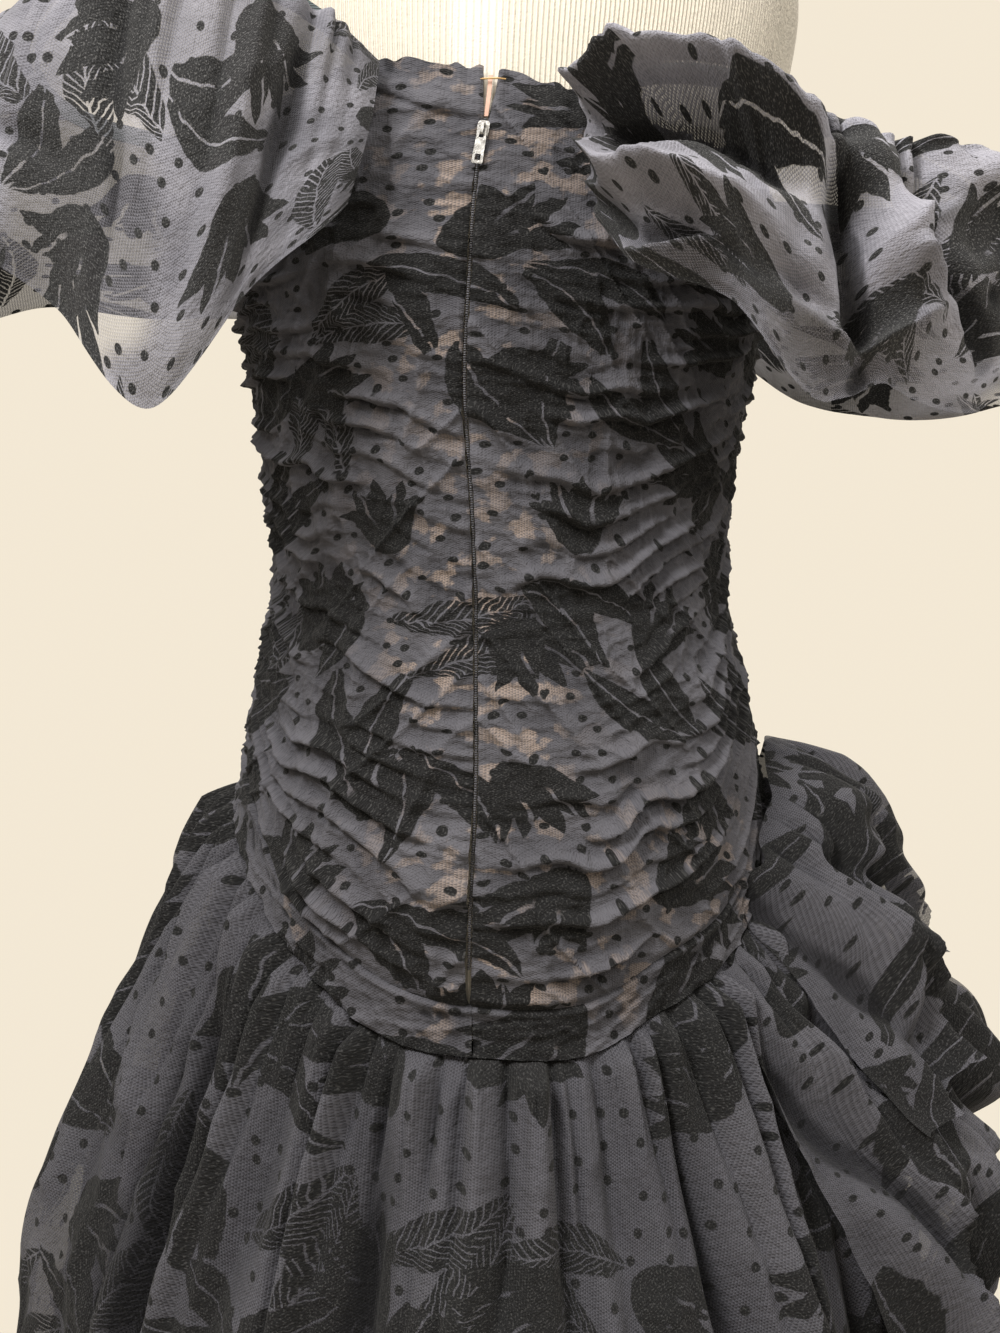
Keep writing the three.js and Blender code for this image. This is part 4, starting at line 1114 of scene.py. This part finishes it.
def sleeve_piece(node, table, centre_x, roll, slump, seed, placed_creases, thin_places, net):
    along = np.linspace(0, 1, 260)[None, :]
    down = np.linspace(0, 1, 100)[:, None]
    at = along * (len(table) - 1)
    rank = np.arange(len(table))
    band = np.stack([smooth_read(rank, table[:, c], at) for c in (0, 1, 2)], axis=-1)
    hem = np.stack([smooth_read(rank, table[:, c], at) for c in (3, 4, 5)], axis=-1)
    puff = smooth_read(rank, table[:, 6], at)
    outward = band - np.array([centre_x, 0, 0])
    outward[..., 2] = 0
    outward /= np.linalg.norm(outward, axis=-1, keepdims=True)
    belly = np.sin(math.pi * np.minimum(1, down * 1.02)) ** 0.8 * (1 - 0.35 * down)
    rolled = 1 - roll * np.exp(-(((down - 0.36) / 0.09) ** 2))
    wave = 0.005 * down * np.sin(2 * math.pi * 9 * along + 1.3 * np.sin(5 * along))
    lift = puff * 0.45 * np.sin(math.pi * np.minimum(1, 2.4 * down)) * (down < 0.42)
    spread = along * 0.75
    fall = down * 0.21
    pleats = gathers(along * 34, down * 0.2, seed, 0.013, 0.06)
    crumple = slump * 0.024 * (ridges(along * 9 + 2.5 * down, down * 3.2 - 4 * along, seed + 1) ** 1.4 - 0.3)
    flexed = 0.006 * (lattice(along * 7, down * 2.1, seed + 2) - 0.5)
    fine = 0.0018 * (0.4 + slump) * ridges(along * 34, down * 9 + 5 * along, seed + 3)
    ends = smooth_step(np.minimum(along, 1 - along), 0, 0.06)
    relief = (pleats + crumple + flexed + fine) * smooth_step(down, 0, 0.06) * ends
    relief = relief + creases(spread, fall, placed_creases) * ends
    stand_out = puff * belly * rolled + wave + relief
    points = band + (hem - band) * down[..., None] + outward * stand_out[..., None]
    points[..., 2] += lift + 0.3 * relief
    # Painted light: the crest mark lightens the raised folds and paints shade into the sleeve's hollows.
    crest = np.clip(0.4 + relief / 0.018, 0, 1)
    cover = 0.97 + 0 * relief
    for middle, low, wide, tall, loss in thin_places:
        ragged = 0.5 * (lattice(along * 24, down * 6, seed) - 0.5)
        apart = np.hypot((along - middle) / wide, (down - low) / tall) + ragged
        cover = cover - loss * (1 - smooth_step(apart, 0.8, 1.25))
    cover = np.clip(cover, 0.38, 1)
    if centre_x < 0:
        points, spread, crest, cover = (part[:, ::-1] for part in (points, spread, crest, cover))
    flat = joined(spread, -fall * 1.15)
    flat[..., 0] += 3 + 1.37 * seed
    piece = grid_piece(node + "_cloth", points, flat, net, {"crest": crest, "cover": cover})
    sew(piece, node)


# Painted light: the sleeves' nets are lighter copies of the same net, paler between the motifs and scaled up.
left_net = flocked_net("flocked_net_left_sleeve", True, 0.9, 2.05)
right_net = flocked_net("flocked_net_right_sleeve", True, 1.2, 2.5)
left_creases = [  # along and down from, along and down to, width, height, in metres on the cloth
    (0.06, 0.00, 0.08, 0.19, 0.010, -0.012),
    (0.10, 0.00, 0.12, 0.19, 0.010, 0.010),
    (0.20, 0.02, 0.17, 0.20, 0.010, -0.010),
    (0.30, 0.03, 0.26, 0.18, 0.012, 0.010),
    (0.22, 0.13, 0.36, 0.10, 0.010, -0.008),
    (0.42, 0.00, 0.40, 0.16, 0.014, -0.010),
]
right_creases = [
    (0.02, 0.050, 0.23, 0.045, 0.012, 0.032),
    (0.02, 0.083, 0.21, 0.078, 0.010, -0.030),
    (0.05, 0.125, 0.20, 0.13, 0.015, 0.020),
    (0.10, 0.17, 0.21, 0.15, 0.010, -0.014),
    (0.225, 0.03, 0.25, 0.20, 0.012, -0.036),
    (0.26, 0.02, 0.29, 0.18, 0.015, 0.026),
    (0.29, 0.06, 0.36, 0.17, 0.010, -0.018),
    (0.33, 0.03, 0.43, 0.11, 0.014, 0.018),
    (0.36, 0.11, 0.47, 0.17, 0.012, -0.016),
]
left_thin = [  # along, down, how wide, how tall, how much cover is lost
    (0.27, 0.78, 0.065, 0.38, 0.56),
    (0.50, 0.12, 0.08, 0.22, 0.35),
    (0.60, 0.60, 0.20, 0.60, 0.20),
]
right_thin = [
    (0.35, 0.95, 0.30, 0.18, 0.45),
    (0.25, 0.55, 0.06, 0.25, 0.15),
    (0.55, 0.50, 0.10, 0.50, 0.30),
]
sleeve_piece(
    "sleeve_left",
    LEFT_SLEEVE,
    centre_x=-0.185,
    roll=0,
    slump=0.15,
    seed=71,
    placed_creases=left_creases,
    thin_places=left_thin,
    net=left_net,
)
sleeve_piece(
    "sleeve_right",
    RIGHT_SLEEVE,
    centre_x=0.185,
    roll=0.8,
    slump=1.0,
    seed=79,
    placed_creases=right_creases,
    thin_places=right_thin,
    net=right_net,
)
